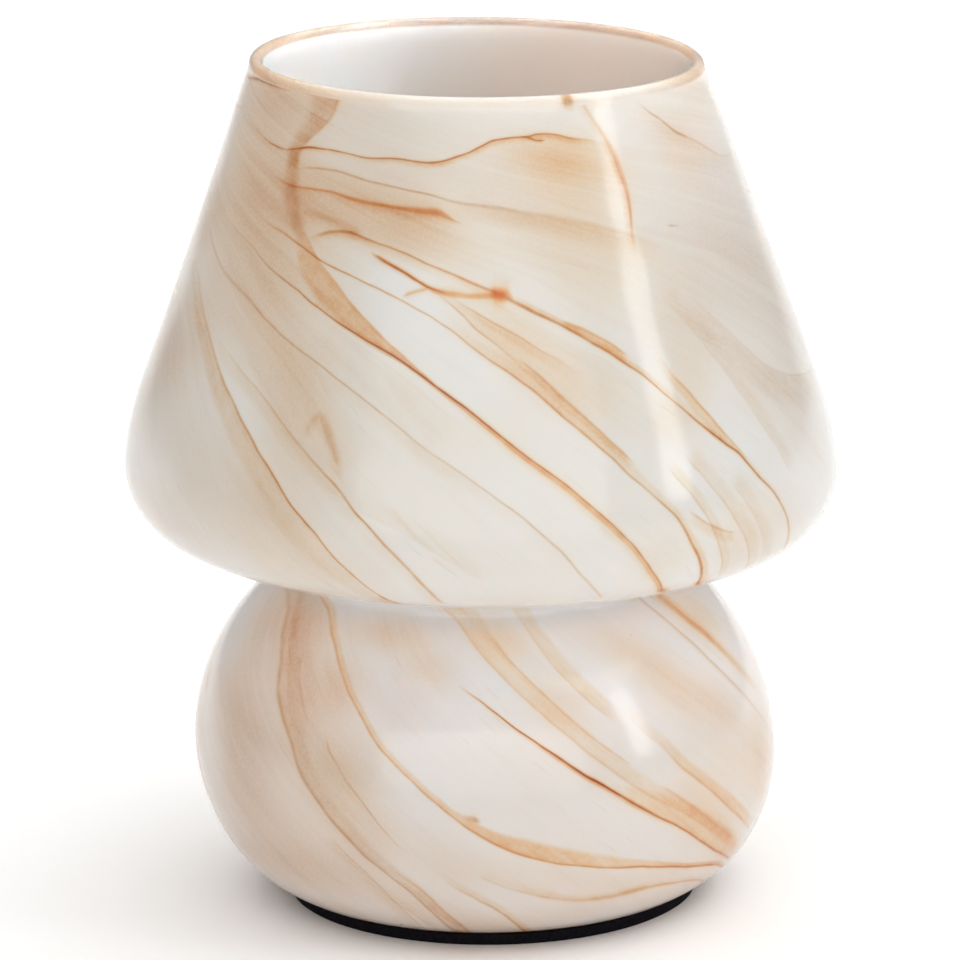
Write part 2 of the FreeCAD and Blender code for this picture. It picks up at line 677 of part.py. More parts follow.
sleeves = new_body("clip_sleeves")
sleeve_sketch = new_sketch(sleeves, "sleeve_outline")
circle(sleeve_sketch, clip_tip, clip_tip_z, sleeve_radius)
sleeve = pad(sleeves, sleeve_sketch, "sleeve_round", sleeve_width, True)
doc.recompute()
slope = math.atan2(num(clip_tip_z - clip_rise), num(clip_tip - clip_peak))
slot_sketch = new_sketch(sleeves, "sleeve_slot")
along = (math.cos(slope), math.sin(slope))
across = (-along[1], along[0])
reach_in, reach_out = 3.0, 0.02
slot_half = clip_thick.value / 2 + 0.02
slot_points = []
for s, c in ((-reach_in, -1), (reach_out, -1), (reach_out, 1), (-reach_in, 1)):
    slot_points.append((clip_tip + (s * along[0] + c * slot_half * across[0]),
                        clip_tip_z + (s * along[1] + c * slot_half * across[1])))
polygon(slot_sketch, slot_points)
slot = pocket(sleeves, slot_sketch, "sleeve_slot_cut", clip_width + 0.1, middle=True)
sleeve_axis = new_sketch(sleeves, "sleeve_axis", "XY_Plane")
axis_geo = sleeve_axis.addGeometry(Part.LineSegment(Vector(0, 0, 0), Vector(10, 0, 0)), True)
sleeve_axis.addConstraint(Sketcher.Constraint("Coincident", axis_geo, 1, -1, 1))
sleeve_axis.addConstraint(Sketcher.Constraint("PointOnObject", axis_geo, 2, -1))
limit(sleeve_axis, "DistanceX", -1, 1, axis_geo, 2, 10.0)
ring_pattern(sleeves, "sleeves_round", [sleeve, slot], sleeve_axis, 3)
place(sleeves, z=pad_thick)

# ---------------------------------------------------------------- cord inlet

total_groove = inlet_groove + inlet_lip * 2
grommet, feature = turned("cord_grommet", [
    (inlet_bore, 0), (inlet_flange, 0), (inlet_flange, inlet_lip), (inlet_hole - 0.1, inlet_lip),
    (inlet_hole - 0.1, inlet_lip + inlet_groove), (inlet_flange, inlet_lip + inlet_groove),
    (inlet_flange, total_groove), (inlet_bore, total_groove)])
fillet(grommet, feature, "grommet_round", circle_edges(feature, [(inlet_flange, total_groove), (inlet_flange, 0)]),
       inlet_round)
# local Z of the grommet leaves the lamp; its outer flange sits 0.05 mm off the glass
start = inlet_point - inlet_axis * (inlet_groove.value + inlet_lip.value - 0.05)
place(grommet, x=start.x, y=start.y, z=start.z, rotation=inlet_turn)

# ---------------------------------------------------------------- stem

stem, feature = turned("stem_tube", [
    (stem_bore, 0), (stem_radius, 0), (stem_radius, stem_high - stem_low), (stem_bore, stem_high - stem_low)],
    z=stem_low)
# the slot lets the wires in, and faces the inlet
slot_sketch = new_sketch(stem, "wire_slot", "XZ_Plane")
polygon(slot_sketch, [
    (slot_width / -2, slot_low - stem_low), (slot_width / 2, slot_low - stem_low),
    (slot_width / 2, slot_high - stem_low), (slot_width / -2, slot_high - stem_low)])
pocket(stem, slot_sketch, "wire_slot_cut", stem_radius + 1, reverse=False)


def hexagon(sketch, flats):
    """A hexagon with two flats along X, given across its flats."""
    flat = flats / 2
    corner = flats * (1 / math.sqrt(3))
    side = flats * (0.5 / math.sqrt(3))
    polygon(sketch, [(flat, side * -1), (flat, side), (0, corner), (flat * -1, side), (flat * -1, side * -1),
                     (0, corner * -1)])


nuts = new_body("stem_nuts")
nut_sketch = new_sketch(nuts, "nut_flats", "XY_Plane")
hexagon(nut_sketch, nut_flats)
nut = pad(nuts, nut_sketch, "nut_block", nut_thick)
doc.recompute()
drill = new_sketch(nuts, "nut_bore", "XY_Plane")
circle(drill, 0, 0, stem_radius + 0.03)
bore = pocket(nuts, drill, "nut_bored", nut_thick * 3, middle=True)
rows = nuts.newObject("PartDesign::LinearPattern", "nuts_stacked")
rows.Originals = [nut, bore]
rows.Direction = (nut_sketch, ["N_Axis"])
pitch = nut_thick + washer_thick + plate_thick + lock_thick
rows.Mode = "Spacing"
bind(rows, "Offset", pitch)
rows.Occurrences = 2
nuts.Tip = rows
place(nuts, z=pad_thick + dish_rise - washer_thick - nut_thick)
doc.recompute()

turned("plain_washer", [
    (stem_radius + tube_clear, 0), (washer_radius, 0), (washer_radius, washer_thick),
    (stem_radius + tube_clear, washer_thick)], z=pad_thick + dish_rise - washer_thick)

lock, feature = turned("lock_washer", [
    (stem_radius + tube_clear, 0), (lock_radius, 0), (lock_radius, lock_thick),
    (stem_radius + tube_clear, lock_thick)], z=pad_thick + dish_high)
notch_sketch = new_sketch(lock, "tooth_gap", "XY_Plane")
circle(notch_sketch, lock_radius, 0, lock_notch)
notch = pocket(lock, notch_sketch, "tooth_gap_cut", lock_thick * 3, middle=True)
ring_pattern(lock, "tooth_gaps", [notch], notch_sketch, 12)

# ---------------------------------------------------------------- lampholder

holder_cap, feature = turned("holder_cap", [
    (stem_radius + 0.03, 0), (boss_radius, 0), (boss_radius, boss_rise), (cap_radius, cap_flare),
    (cap_radius, cap_rise), (cap_bore, cap_rise), (cap_bore, ledge_z), (ledge_radius, ledge_z),
    (ledge_radius, throat_z), (throat_radius, floor_z), (stem_radius + 0.03, floor_z)], z=cap_low)
rounding = circle_edges(feature, [(boss_radius, 0), (cap_radius, cap_flare), (boss_radius, boss_rise)])
fillet(holder_cap, feature, "holder_cap_round", rounding, 1.2)
drill = new_sketch(holder_cap, "grub_hole", "YZ_Plane")
circle(drill, 0, grub_z, grub_radius + 0.03)
pocket(holder_cap, drill, "grub_hole_cut", boss_radius + 2, reverse=True)

grub = new_body("cap_set_screw")
grub_sketch = new_sketch(grub, "grub_round", "YZ_Plane",
                         Placement(Vector(0, 0, stem_radius.value + 0.05), Rotation()))
grub_sketch.setExpression("AttachmentOffset.Base.z", (stem_radius + 0.05).text)
circle(grub_sketch, 0, 0, grub_radius)
pad(grub, grub_sketch, "grub_block", grub_out - stem_radius - 0.05)
doc.recompute()
slot_sketch = new_sketch(grub, "grub_slot", "YZ_Plane", Placement(Vector(0, 0, grub_out.value), Rotation()))
slot_sketch.setExpression("AttachmentOffset.Base.z", grub_out.text)
polygon(slot_sketch, [(-2.0, -0.25), (2.0, -0.25), (2.0, 0.25), (-2.0, 0.25)])
pocket(grub, slot_sketch, "grub_slot_cut", 0.9)
place(grub, z=cap_low + grub_z)

insert, feature = turned("holder_insert", [
    (0, 0), (insert_flange, 0), (insert_flange, flange_thick), (insert_radius, flange_thick),
    (insert_radius, insert_high), (0, insert_high)], z=cap_low + ledge_z)
for name, side in (("left", -1), ("right", 1)):
    well = new_sketch(insert, "terminal_well_" + name, "XY_Plane")
    inner, outer = pocket_x - pocket_side / 2, pocket_x + pocket_side / 2
    xs = (inner, outer) if side > 0 else (outer * -1, inner * -1)
    polygon(well, [(xs[0], pocket_side / -2), (xs[1], pocket_side / -2), (xs[1], pocket_side / 2),
                   (xs[0], pocket_side / 2)])
    pocket(insert, well, "terminal_well_cut_" + name, pocket_deep, reverse=True)
driver = new_sketch(insert, "screw_way", "YZ_Plane")
circle(driver, 0, screw_z, post_radius)
pocket(insert, driver, "screw_way_cut", insert_flange * 2.2, middle=True)
slots = new_sketch(insert, "contact_slots", "XY_Plane")
tail = strip_thick / 2 + 0.05
wide = strip_width / 2 + 0.05
polygon(slots, [(leaf_x * -1 - tail, wide * -1), (leaf_x * -1 + tail, wide * -1), (leaf_x * -1 + tail, wide),
                (leaf_x * -1 - tail, wide)])
pocket(insert, slots, "centre_slot_cut", insert_high, reverse=True)
slots = new_sketch(insert, "shell_slot", "XY_Plane")
polygon(slots, [(pocket_x - tail, wide * -1), (pocket_x + tail, wide * -1), (pocket_x + tail, wide),
                (pocket_x - tail, wide)])
pocket(insert, slots, "shell_slot_cut", insert_high, reverse=True)

blocks = new_body("terminals")
block_sketch = new_sketch(blocks, "terminal_section", "XY_Plane")
polygon(block_sketch, [
    (pocket_x - block_side / 2, block_side / -2), (pocket_x + block_side / 2, block_side / -2),
    (pocket_x + block_side / 2, block_side / 2), (pocket_x - block_side / 2, block_side / 2)])
block = pad(blocks, block_sketch, "terminal_block", block_tall)
doc.recompute()
drill = new_sketch(blocks, "terminal_wire_hole", "XY_Plane")
circle(drill, pocket_x, 0, block_bore)
wire_hole = pocket(blocks, drill, "terminal_wire_hole_cut", block_tall - 1.0, reverse=True)
drill = new_sketch(blocks, "terminal_screw_hole", "YZ_Plane",
                   Placement(Vector(0, 0, num(pocket_x)), Rotation()))
drill.setExpression("AttachmentOffset.Base.z", pocket_x.text)
circle(drill, 0, screw_z - (pocket_deep - block_tall), screw_shank + 0.03)
screw_hole = pocket(blocks, drill, "terminal_screw_hole_cut", block_side, reverse=True)
ring_pattern(blocks, "terminals_pair", [block, wire_hole, screw_hole], block_sketch, 2)
place(blocks, z=cap_low + ledge_z + pocket_deep - block_tall)

screws = new_body("terminal_screws")
screw_sketch = new_sketch(screws, "screw_outline", "XZ_Plane")
# turned about X: the outline is drawn above the axis line
polygon(screw_sketch, [(screw_in, 0), (screw_out, 0), (screw_out, screw_head), (screw_head_in, screw_head),
                       (screw_head_in, screw_shank), (screw_in, screw_shank)])
screw = screws.newObject("PartDesign::Revolution", "screw_turned")
screw.Profile = screw_sketch
screw.ReferenceAxis = (screw_sketch, ["H_Axis"])
screw.Angle = FULL_TURN
doc.recompute()
slot_sketch = new_sketch(screws, "screw_slot", "YZ_Plane", Placement(Vector(0, 0, screw_out.value), Rotation()))
slot_sketch.setExpression("AttachmentOffset.Base.z", screw_out.text)
polygon(slot_sketch, [(-2.4, -0.3), (2.4, -0.3), (2.4, 0.3), (-2.4, 0.3)])
slot = pocket(screws, slot_sketch, "screw_slot_cut", 0.6)
pair_axis = new_sketch(screws, "screw_pair_axis", "XY_Plane")
axis_geo = pair_axis.addGeometry(Part.LineSegment(Vector(0, 0, 0), Vector(10, 0, 0)), True)
pair_axis.addConstraint(Sketcher.Constraint("Coincident", axis_geo, 1, -1, 1))
pair_axis.addConstraint(Sketcher.Constraint("PointOnObject", axis_geo, 2, -1))
limit(pair_axis, "DistanceX", -1, 1, axis_geo, 2, 10.0)
ring_pattern(screws, "screws_pair", [screw, slot], pair_axis, 2)
place(screws, z=cap_low + ledge_z + screw_z)

# The centre contact is a bent leaf: its tail stands on one terminal, its top meets the bulb.
insert_face = cap_low + ledge_z + insert_high
tail_drop = insert_high - pocket_deep
contact = new_body("centre_contact")
leaf_sketch = new_sketch(contact, "leaf_outline")
leaf_mid = [(-leaf_x.value, -tail_drop.value + 0.02), (-leaf_x.value, 0.22), (-2.6, 0.5),
            (-0.9, leaf_z.value - 0.42), (0.9, leaf_z.value - 0.42), (2.4, 1.7)]
polygon(leaf_sketch, strip_points(leaf_mid, strip_thick.value))
pad(contact, leaf_sketch, "leaf_strip", strip_width, True)
place(contact, z=insert_face)

side_contact = new_body("shell_contact")
side_sketch = new_sketch(side_contact, "side_outline")
side_mid = [(pocket_x.value, -tail_drop.value + 0.02), (pocket_x.value, 0.2), (pocket_x.value + 2.9, 0.2)]
polygon(side_sketch, strip_points(side_mid, strip_thick.value))
pad(side_contact, side_sketch, "side_strip", strip_width, True)
place(side_contact, z=insert_face)

turned("thread_shell", [
    (shell_bore, 0), (shell_flange, 0), (shell_flange, shell_sheet), (shell_outer, shell_sheet),
    (shell_outer, shell_rise), (shell_bore, shell_rise)], z=shell_low)

skirt, feature = turned("holder_skirt", [
    (skirt_bore, 0), (skirt_thread, 0), (skirt_thread, skirt_step), (skirt_radius, skirt_step),
    (skirt_radius, skirt_band), (skirt_top, skirt_rise), (skirt_mouth, skirt_rise),
    (skirt_mouth, skirt_rise - skirt_lip), (skirt_bore, skirt_rise - skirt_lip)], z=skirt_low)
fillet(skirt, feature, "holder_skirt_round", circle_edges(feature, [(skirt_top, skirt_rise)]), 0.9)
# grip ribs round the lower band
rib = new_sketch(skirt, "grip_gap", "XY_Plane", Placement(Vector(0, 0, skirt_step.value + 0.6), Rotation()))
rib.setExpression("AttachmentOffset.Base.z", (skirt_step + 0.6).text)
circle(rib, skirt_radius + 0.35, 0, 0.8)
gap = pocket(skirt, rib, "grip_gap_cut", skirt_band - skirt_step - 1.2, reverse=True)
ring_pattern(skirt, "grip_gaps", [gap], rib, 24)

# ---------------------------------------------------------------- bulb

turned("bulb_tip", [(0, 0), (tip_radius - 0.8, 0), (tip_radius, 0.6), (tip_radius, tip_thick), (0, tip_thick)],
       z=bulb_low)

turned("bulb_insulator", [
    (0, tip_thick + 0.05), (tip_radius + 0.05, tip_thick + 0.05), (tip_radius + 0.05, ring_rise),
    (ring_radius, ring_rise), (plug_radius, can_low), (plug_radius, plug_rise), (0, plug_rise)], z=bulb_low)

turned("bulb_cap", [
    (can_lip, can_low), (can_radius, can_low + 0.9), (can_radius, can_thread), (flare_radius, flare_z),
    (flare_radius, can_rise), (flare_radius - can_wall, can_rise), (flare_radius - can_wall, flare_z + 0.2),
    (can_radius - can_wall, can_thread + 0.2), (can_radius - can_wall, can_low + 1.3),
    (plug_radius + 0.05, can_low + 0.6), (plug_radius + 0.05, can_low)], z=bulb_low)

# The envelope's outline: neck, hollow curve and globe outside, the same inside, all tangent.
envelope = new_body("bulb_envelope")
shell_sketch = new_sketch(envelope, "envelope_outline")
globe_z = globe_top - globe_radius
neck, hollow_r, globe, wall = neck_radius.value, neck_arc.value, globe_radius.value, bulb_wall.value
side_x = neck + hollow_r
drop = math.sqrt((globe + hollow_r) ** 2 - side_x ** 2)
waist_z = globe_z.value - drop
touch = (side_x * globe / (globe + hollow_r), globe_z.value - drop * globe / (globe + hollow_r))
touch_in = (side_x * (globe - wall) / (globe + hollow_r), globe_z.value - drop * (globe - wall) / (globe + hollow_r))


def arc_between(centre, radius, a, b):
    first = math.atan2(a[1] - centre[1], a[0] - centre[0])
    last = math.atan2(b[1] - centre[1], b[0] - centre[0])
    while last < first:
        last += 2 * math.pi
    return Part.ArcOfCircle(Part.Circle(Vector(centre[0], centre[1], 0), Vector(0, 0, 1), radius), first, last)


centre = (0.0, globe_z.value)
bend = (side_x, waist_z)
low = neck_z.value
g_neck = shell_sketch.addGeometry(Part.LineSegment(Vector(neck, low, 0), Vector(neck, waist_z, 0)), False)
g_bend = shell_sketch.addGeometry(arc_between(bend, hollow_r, touch, (neck, waist_z)), False)
g_globe = shell_sketch.addGeometry(arc_between(centre, globe, touch, (0, globe_top.value)), False)
g_top = shell_sketch.addGeometry(Part.LineSegment(Vector(0, globe_top.value, 0), Vector(0, globe_top.value - wall, 0)), False)
g_globe_in = shell_sketch.addGeometry(arc_between(centre, globe - wall, touch_in, (0, globe_top.value - wall)), False)
g_bend_in = shell_sketch.addGeometry(arc_between(bend, hollow_r + wall, touch_in, (neck - wall, waist_z)), False)
g_neck_in = shell_sketch.addGeometry(Part.LineSegment(Vector(neck - wall, waist_z, 0), Vector(neck - wall, low, 0)), False)
g_foot = shell_sketch.addGeometry(Part.LineSegment(Vector(neck - wall, low, 0), Vector(neck, low, 0)), False)
con = Sketcher.Constraint
shell_sketch.addConstraint(con("Tangent", g_neck, 2, g_bend, 2))
shell_sketch.addConstraint(con("Tangent", g_bend, 1, g_globe, 1))
shell_sketch.addConstraint(con("Coincident", g_globe, 2, g_top, 1))
shell_sketch.addConstraint(con("Coincident", g_top, 2, g_globe_in, 2))
shell_sketch.addConstraint(con("Tangent", g_globe_in, 1, g_bend_in, 1))
shell_sketch.addConstraint(con("Tangent", g_bend_in, 2, g_neck_in, 1))
shell_sketch.addConstraint(con("Coincident", g_neck_in, 2, g_foot, 1))
shell_sketch.addConstraint(con("Coincident", g_foot, 2, g_neck, 1))
shell_sketch.addConstraint(con("Vertical", g_neck))
shell_sketch.addConstraint(con("Vertical", g_neck_in))
shell_sketch.addConstraint(con("Horizontal", g_foot))
shell_sketch.addConstraint(con("PointOnObject", g_globe, 3, -2))
shell_sketch.addConstraint(con("PointOnObject", g_globe_in, 3, -2))
shell_sketch.addConstraint(con("PointOnObject", g_globe, 2, -2))
shell_sketch.addConstraint(con("PointOnObject", g_top, 2, -2))
fix_point(shell_sketch, g_neck, 1, neck_radius, neck_z)
limit(shell_sketch, "DistanceX", -1, 1, g_neck_in, 2, neck_radius - bulb_wall)
limit(shell_sketch, "Radius", g_bend, neck_arc)
limit(shell_sketch, "Radius", g_globe, globe_radius)
limit(shell_sketch, "DistanceY", -1, 1, g_top, 1, globe_top)
limit(shell_sketch, "Radius", g_bend_in, neck_arc + bulb_wall)
limit(shell_sketch, "Radius", g_globe_in, globe_radius - bulb_wall)
limit(shell_sketch, "DistanceY", -1, 1, g_globe_in, 3, globe_top - globe_radius)
revolve(envelope, shell_sketch, "envelope_turned")
place(envelope, z=bulb_low)
doc.recompute()

# The glass mount: a flared foot, a tube pinched shut and a rod with a button.
turned("bulb_stem", [
    (mount_flange, mount_low), (mount_flange, mount_low + mount_wall), (mount_tube, mount_tube_z),
    (mount_tube, mount_pinch_z), (mount_rod, mount_rod_z), (mount_rod, mount_top - 1.6),
    (mount_button, mount_top - 1.1), (mount_button, mount_top - 0.4), (mount_rod, mount_top), (0, mount_top),
    (0, mount_pinch_z - 1.0), (mount_tube - mount_wall, mount_pinch_z - 3.0),
    (mount_tube - mount_wall, mount_tube_z), (mount_flange - mount_wall, mount_low)], z=bulb_low)


def rod(name, start, end, radius):
    """A straight round rod between two points, radius bound to the sheet."""
    solid = doc.addObject("Part::Cylinder", name)
    run = end - start
    bind(solid, "Radius", radius)
    solid.Height = run.Length
    solid.Placement = Placement(start, Rotation(Vector(0, 0, 1), run))
    return solid


def group(label, members):
    compound = doc.addObject("Part::Compound", label)
    compound.Label = label
    compound.Links = members
    parts.append(compound)
    return compound


lower, upper = bulb_low.value + led_low.value, bulb_low.value + led_high.value
strips, wires = [], []
rod_out, stem_out = mount_rod.value + wire_radius.value + 0.05, mount_tube.value
button_z = bulb_low.value + mount_top.value - 0.8
for i in range(4):
    angle = math.radians(45 + 90 * i)
    foot = Vector(led_foot.value * math.cos(angle), led_foot.value * math.sin(angle), lower)
    head = Vector(led_head.value * math.cos(angle), led_head.value * math.sin(angle), upper)
    strips.append(rod("filament_%d" % (i + 1), foot, head, led_radius))
    # spider wire from the button up to the filament's head
    hub = Vector((mount_button.value + 0.02) * math.cos(angle), (mount_button.value + 0.02) * math.sin(angle), button_z)
    top_end = head + (head - foot).normalize() * 0.3
    wires.append(rod("spider_wire_%d" % (i + 1), hub, top_end, wire_radius))
    # lead-in wire from the pinched tube out to the filament's foot
    root = Vector((stem_out - 0.5) * math.cos(angle), (stem_out - 0.5) * math.sin(angle),
                  bulb_low.value + mount_pinch_z.value + 1.7)
    low_end = foot - (head - foot).normalize() * 0.3
    wires.append(rod("lead_wire_%d" % (i + 1), root, low_end, wire_radius))
group("bulb_filaments", strips)
group("bulb_wires", wires)

driver_body = new_body("bulb_driver")
board_sketch = new_sketch(driver_body, "board_outline", "XZ_Plane")
polygon(board_sketch, [(board_width / -2, 0), (board_width / 2, 0), (board_width / 2, board_tall),
                       (board_width / -2, board_tall)])
pad(driver_body, board_sketch, "board", board_thick, True)
doc.recompute()
part_sketch = new_sketch(driver_body, "capacitor_outline", "XY_Plane",
                         Placement(Vector(0, 0, 4.0), Rotation()))
circle(part_sketch, 0, can_part_radius + board_thick / 2 - 0.1, can_part_radius)
pad(driver_body, part_sketch, "capacitor", can_part_tall)
place(driver_body, z=bulb_low + board_low)
doc.recompute()

# ---------------------------------------------------------------- checks and files

doc.recompute()
for obj in doc.Objects:
    if "Invalid" in obj.State or "Error" in obj.State:
        raise RuntimeError("%s failed: %s" % (obj.Name, obj.State))
for obj in doc.Objects:
    if obj.TypeId == "Sketcher::SketchObject" and not obj.FullyConstrained:
        print("sketch not fully constrained:", obj.Name)
for part in parts:
    shape = part.Shape
    if shape.isNull() or not shape.isValid() or not shape.Solids:
        raise RuntimeError("bad shape: " + part.Label)

os.makedirs("parts", exist_ok=True)
for part in parts:
    part.Shape.exportStep(os.path.join("parts", part.Label + ".step"))
    box = part.Shape.BoundBox
    print("%-16s solids %d  volume %9.1f  x %.1f..%.1f  y %.1f..%.1f  z %.1f..%.1f" % (
        part.Label, len(part.Shape.Solids), part.Shape.Volume, box.XMin, box.XMax, box.YMin, box.YMax,
        box.ZMin, box.ZMax))
print("inlet point %.3f %.3f %.3f, tilt %.2f, foot radius %.2f" % (
    inlet_point.x, inlet_point.y, inlet_point.z, normal_tilt, foot_radius))
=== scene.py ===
import math

import bmesh
import bpy
import numpy as np
from mathutils import Matrix, Vector, noise


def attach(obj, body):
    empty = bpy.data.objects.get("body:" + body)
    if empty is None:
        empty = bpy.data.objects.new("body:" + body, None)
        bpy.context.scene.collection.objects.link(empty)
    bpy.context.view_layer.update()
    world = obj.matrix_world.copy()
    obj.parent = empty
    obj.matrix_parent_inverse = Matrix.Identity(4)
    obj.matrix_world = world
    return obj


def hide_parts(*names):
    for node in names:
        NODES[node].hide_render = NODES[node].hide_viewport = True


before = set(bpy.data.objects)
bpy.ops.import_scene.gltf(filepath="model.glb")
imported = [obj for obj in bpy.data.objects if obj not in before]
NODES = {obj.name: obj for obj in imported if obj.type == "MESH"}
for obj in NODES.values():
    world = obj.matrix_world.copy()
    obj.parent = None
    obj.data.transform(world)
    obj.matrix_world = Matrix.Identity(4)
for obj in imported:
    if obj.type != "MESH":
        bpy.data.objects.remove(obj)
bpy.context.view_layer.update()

MM = 0.001

# The blown glass is a little out of true: every section leans and wanders. FIT keeps its highest
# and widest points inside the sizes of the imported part.
FIT = 240.0 / 241.0

# ------------------------------------------------------------------ the glass outline

HEIGHT, PAD, WALL = 240.0, 3.3, 3.6
RIM, FLANK = 62.2, (95.26, 147.63)
ARCS = (  # kind, radius, bulges out, ends at this z or r, value, which of the circle's two points
    ("arc", 91.0, 1, "z", 126.87, 1),
    ("arc", 20.5, 1, "r", 84.06, -1),
    ("line", 0.0, 0, "r", 60.55, 0),
    ("arc", 4.0, -1, "z", 92.5, -1),
    ("arc", 68.0, 1, "z", 51.38, 1),
    ("arc", 49.5, 1, "z", 19.74, 1),
    ("arc", 37.1, 1, "z", PAD, 1),
)


def outline(step):
    """The outside of the glass from the lip down to the foot, as (r, z) in mm, about step apart."""
    at, lip = FLANK, (RIM, HEIGHT)
    head = math.atan2(at[1] - lip[1], at[0] - lip[0])
    n = max(2, int(math.dist(at, lip) / step))
    pts = [(lip[0] + (at[0] - lip[0]) * i / n, lip[1] + (at[1] - lip[1]) * i / n) for i in range(n + 1)]
    for kind, radius, out, ends, value, side in ARCS:
        if kind == "line":
            end = (value, at[1] + math.tan(head) * (value - at[0]))
            n = max(2, int(math.dist(at, end) / step))
            pts += [(at[0] + (end[0] - at[0]) * i / n, at[1] + (end[1] - at[1]) * i / n) for i in range(1, n + 1)]
        else:
            c = (at[0] + radius * out * math.sin(head), at[1] - radius * out * math.cos(head))
            if ends == "z":
                end = (c[0] + side * math.sqrt(radius ** 2 - (value - c[1]) ** 2), value)
            else:
                end = (value, c[1] + side * math.sqrt(radius ** 2 - (value - c[0]) ** 2))
            a0 = math.atan2(at[1] - c[1], at[0] - c[0])
            a1 = math.atan2(end[1] - c[1], end[0] - c[0])
            if out > 0:
                while a1 > a0:
                    a1 -= 2 * math.pi
            else:
                while a1 < a0:
                    a1 += 2 * math.pi
            n = max(4, int(abs(a1 - a0) * radius / step))
            pts += [(c[0] + radius * math.cos(a0 + (a1 - a0) * i / n),
                     c[1] + radius * math.sin(a0 + (a1 - a0) * i / n)) for i in range(1, n + 1)]
            head = a1 - math.pi / 2 if out > 0 else a1 + math.pi / 2
        at = end
    return np.array(pts)


def smooth(a, b, x):
    t = np.clip((np.asarray(x, float) - a) / (b - a), 0, 1)
    return t * t * (3 - 2 * t)


def lathe_profile():
    """Closed profile of the wall: outside, ground foot, inside and rounded lip. Gives (r, z) in mm
    and, for each point, how much of the coloured skin it has."""
    out = outline(1.5)
    # outside, with its top cut where the lip's rounding starts
    tangent = np.gradient(out, axis=0)
    tangent /= np.linalg.norm(tangent, axis=1)[:, None]
    inward = np.stack([tangent[:, 1], -tangent[:, 0]], 1)  # heading down the outside, the wall is on this side
    if inward[0, 0] > 0:
        inward = -inward
    inner = out + inward * WALL
    keep = (inner[:, 1] < HEIGHT - 1.9) & (inner[:, 1] > PAD + 0.8)
    inner = inner[keep]
    inner = inner[(np.arange(len(inner)) % 3 == 0) | (inner[:, 1] < 34)]
    outer = out[(out[:, 1] < HEIGHT - 2.0) & (out[:, 1] > PAD + 0.9)]
    # lip: half round, a little fuller outside, as fire polishing leaves it
    a, b = outer[0], inner[0]
    mid, half = (a + b) / 2, np.linalg.norm(b - a) / 2
    across = (b - a) / np.linalg.norm(b - a)
    up = np.array([-across[1], across[0]])
    if up[1] < 0:
        up = -up
    lip = []
    for i in range(1, 10):
        t = math.pi * i / 10
        lip.append(mid - across * half * math.cos(t) + up * (HEIGHT - 0.02 - mid[1]) / up[1] * math.sin(t) ** 0.9)
    # ground foot: flat, with a small ground bevel on both edges
    o, i = outer[-1], inner[-1]
    foot_out, foot_in = out[-1], out[-1] + (inner[-1] - outer[-1])
    foot = [np.array([foot_out[0] + 0.15, PAD + 0.35]), np.array([foot_out[0] - 0.35, PAD]),
            np.array([(foot_out[0] + foot_in[0]) / 2, PAD]), np.array([foot_in[0] - 2.2, PAD]),
            np.array([foot_in[0] - 2.7, PAD + 0.35])]
    pts = list(outer) + foot + list(inner[::-1]) + lip[::-1]
    skin = [1.0] * len(outer) + [1.0, 0.7, 0.2, 0.1, 0.0] + [0.0] * len(inner) \
        + [float(v) for v in np.linspace(0.35, 1.0, len(lip)) ** 0.4]
    return np.array(pts), np.array(skin), len(outer)


LEAN_Z = np.array([0.0, 0.2, 0.45, 0.7, 1.0])
LEAN_X = np.array([0.0049, -0.0006, -0.002, 0.0007, -0.0018])


def tilt_at(z):
    """Slope of the section at height z, as rise per mm to the right."""
    base = -0.0158 * np.clip(np.sin(np.pi * np.clip(z / HEIGHT / 0.40, 0, 1)), 0, 1)
    top = np.full_like(base, -0.016)
    w = smooth(92, 104, z)
    return base * (1 - w) + top * w


def out_of_true(theta, r, z):
    """Where the point of the true shape at angle theta (0 at the front, + to the right) goes, in mm."""
    cx = np.interp(z / HEIGHT, LEAN_Z, LEAN_X) * HEIGHT
    x = r * np.sin(theta)
    y = -r * np.cos(theta)
    return np.stack([cx + x, y, z + tilt_at(z) * x], -1) * FIT


# ------------------------------------------------------------------ the swirl

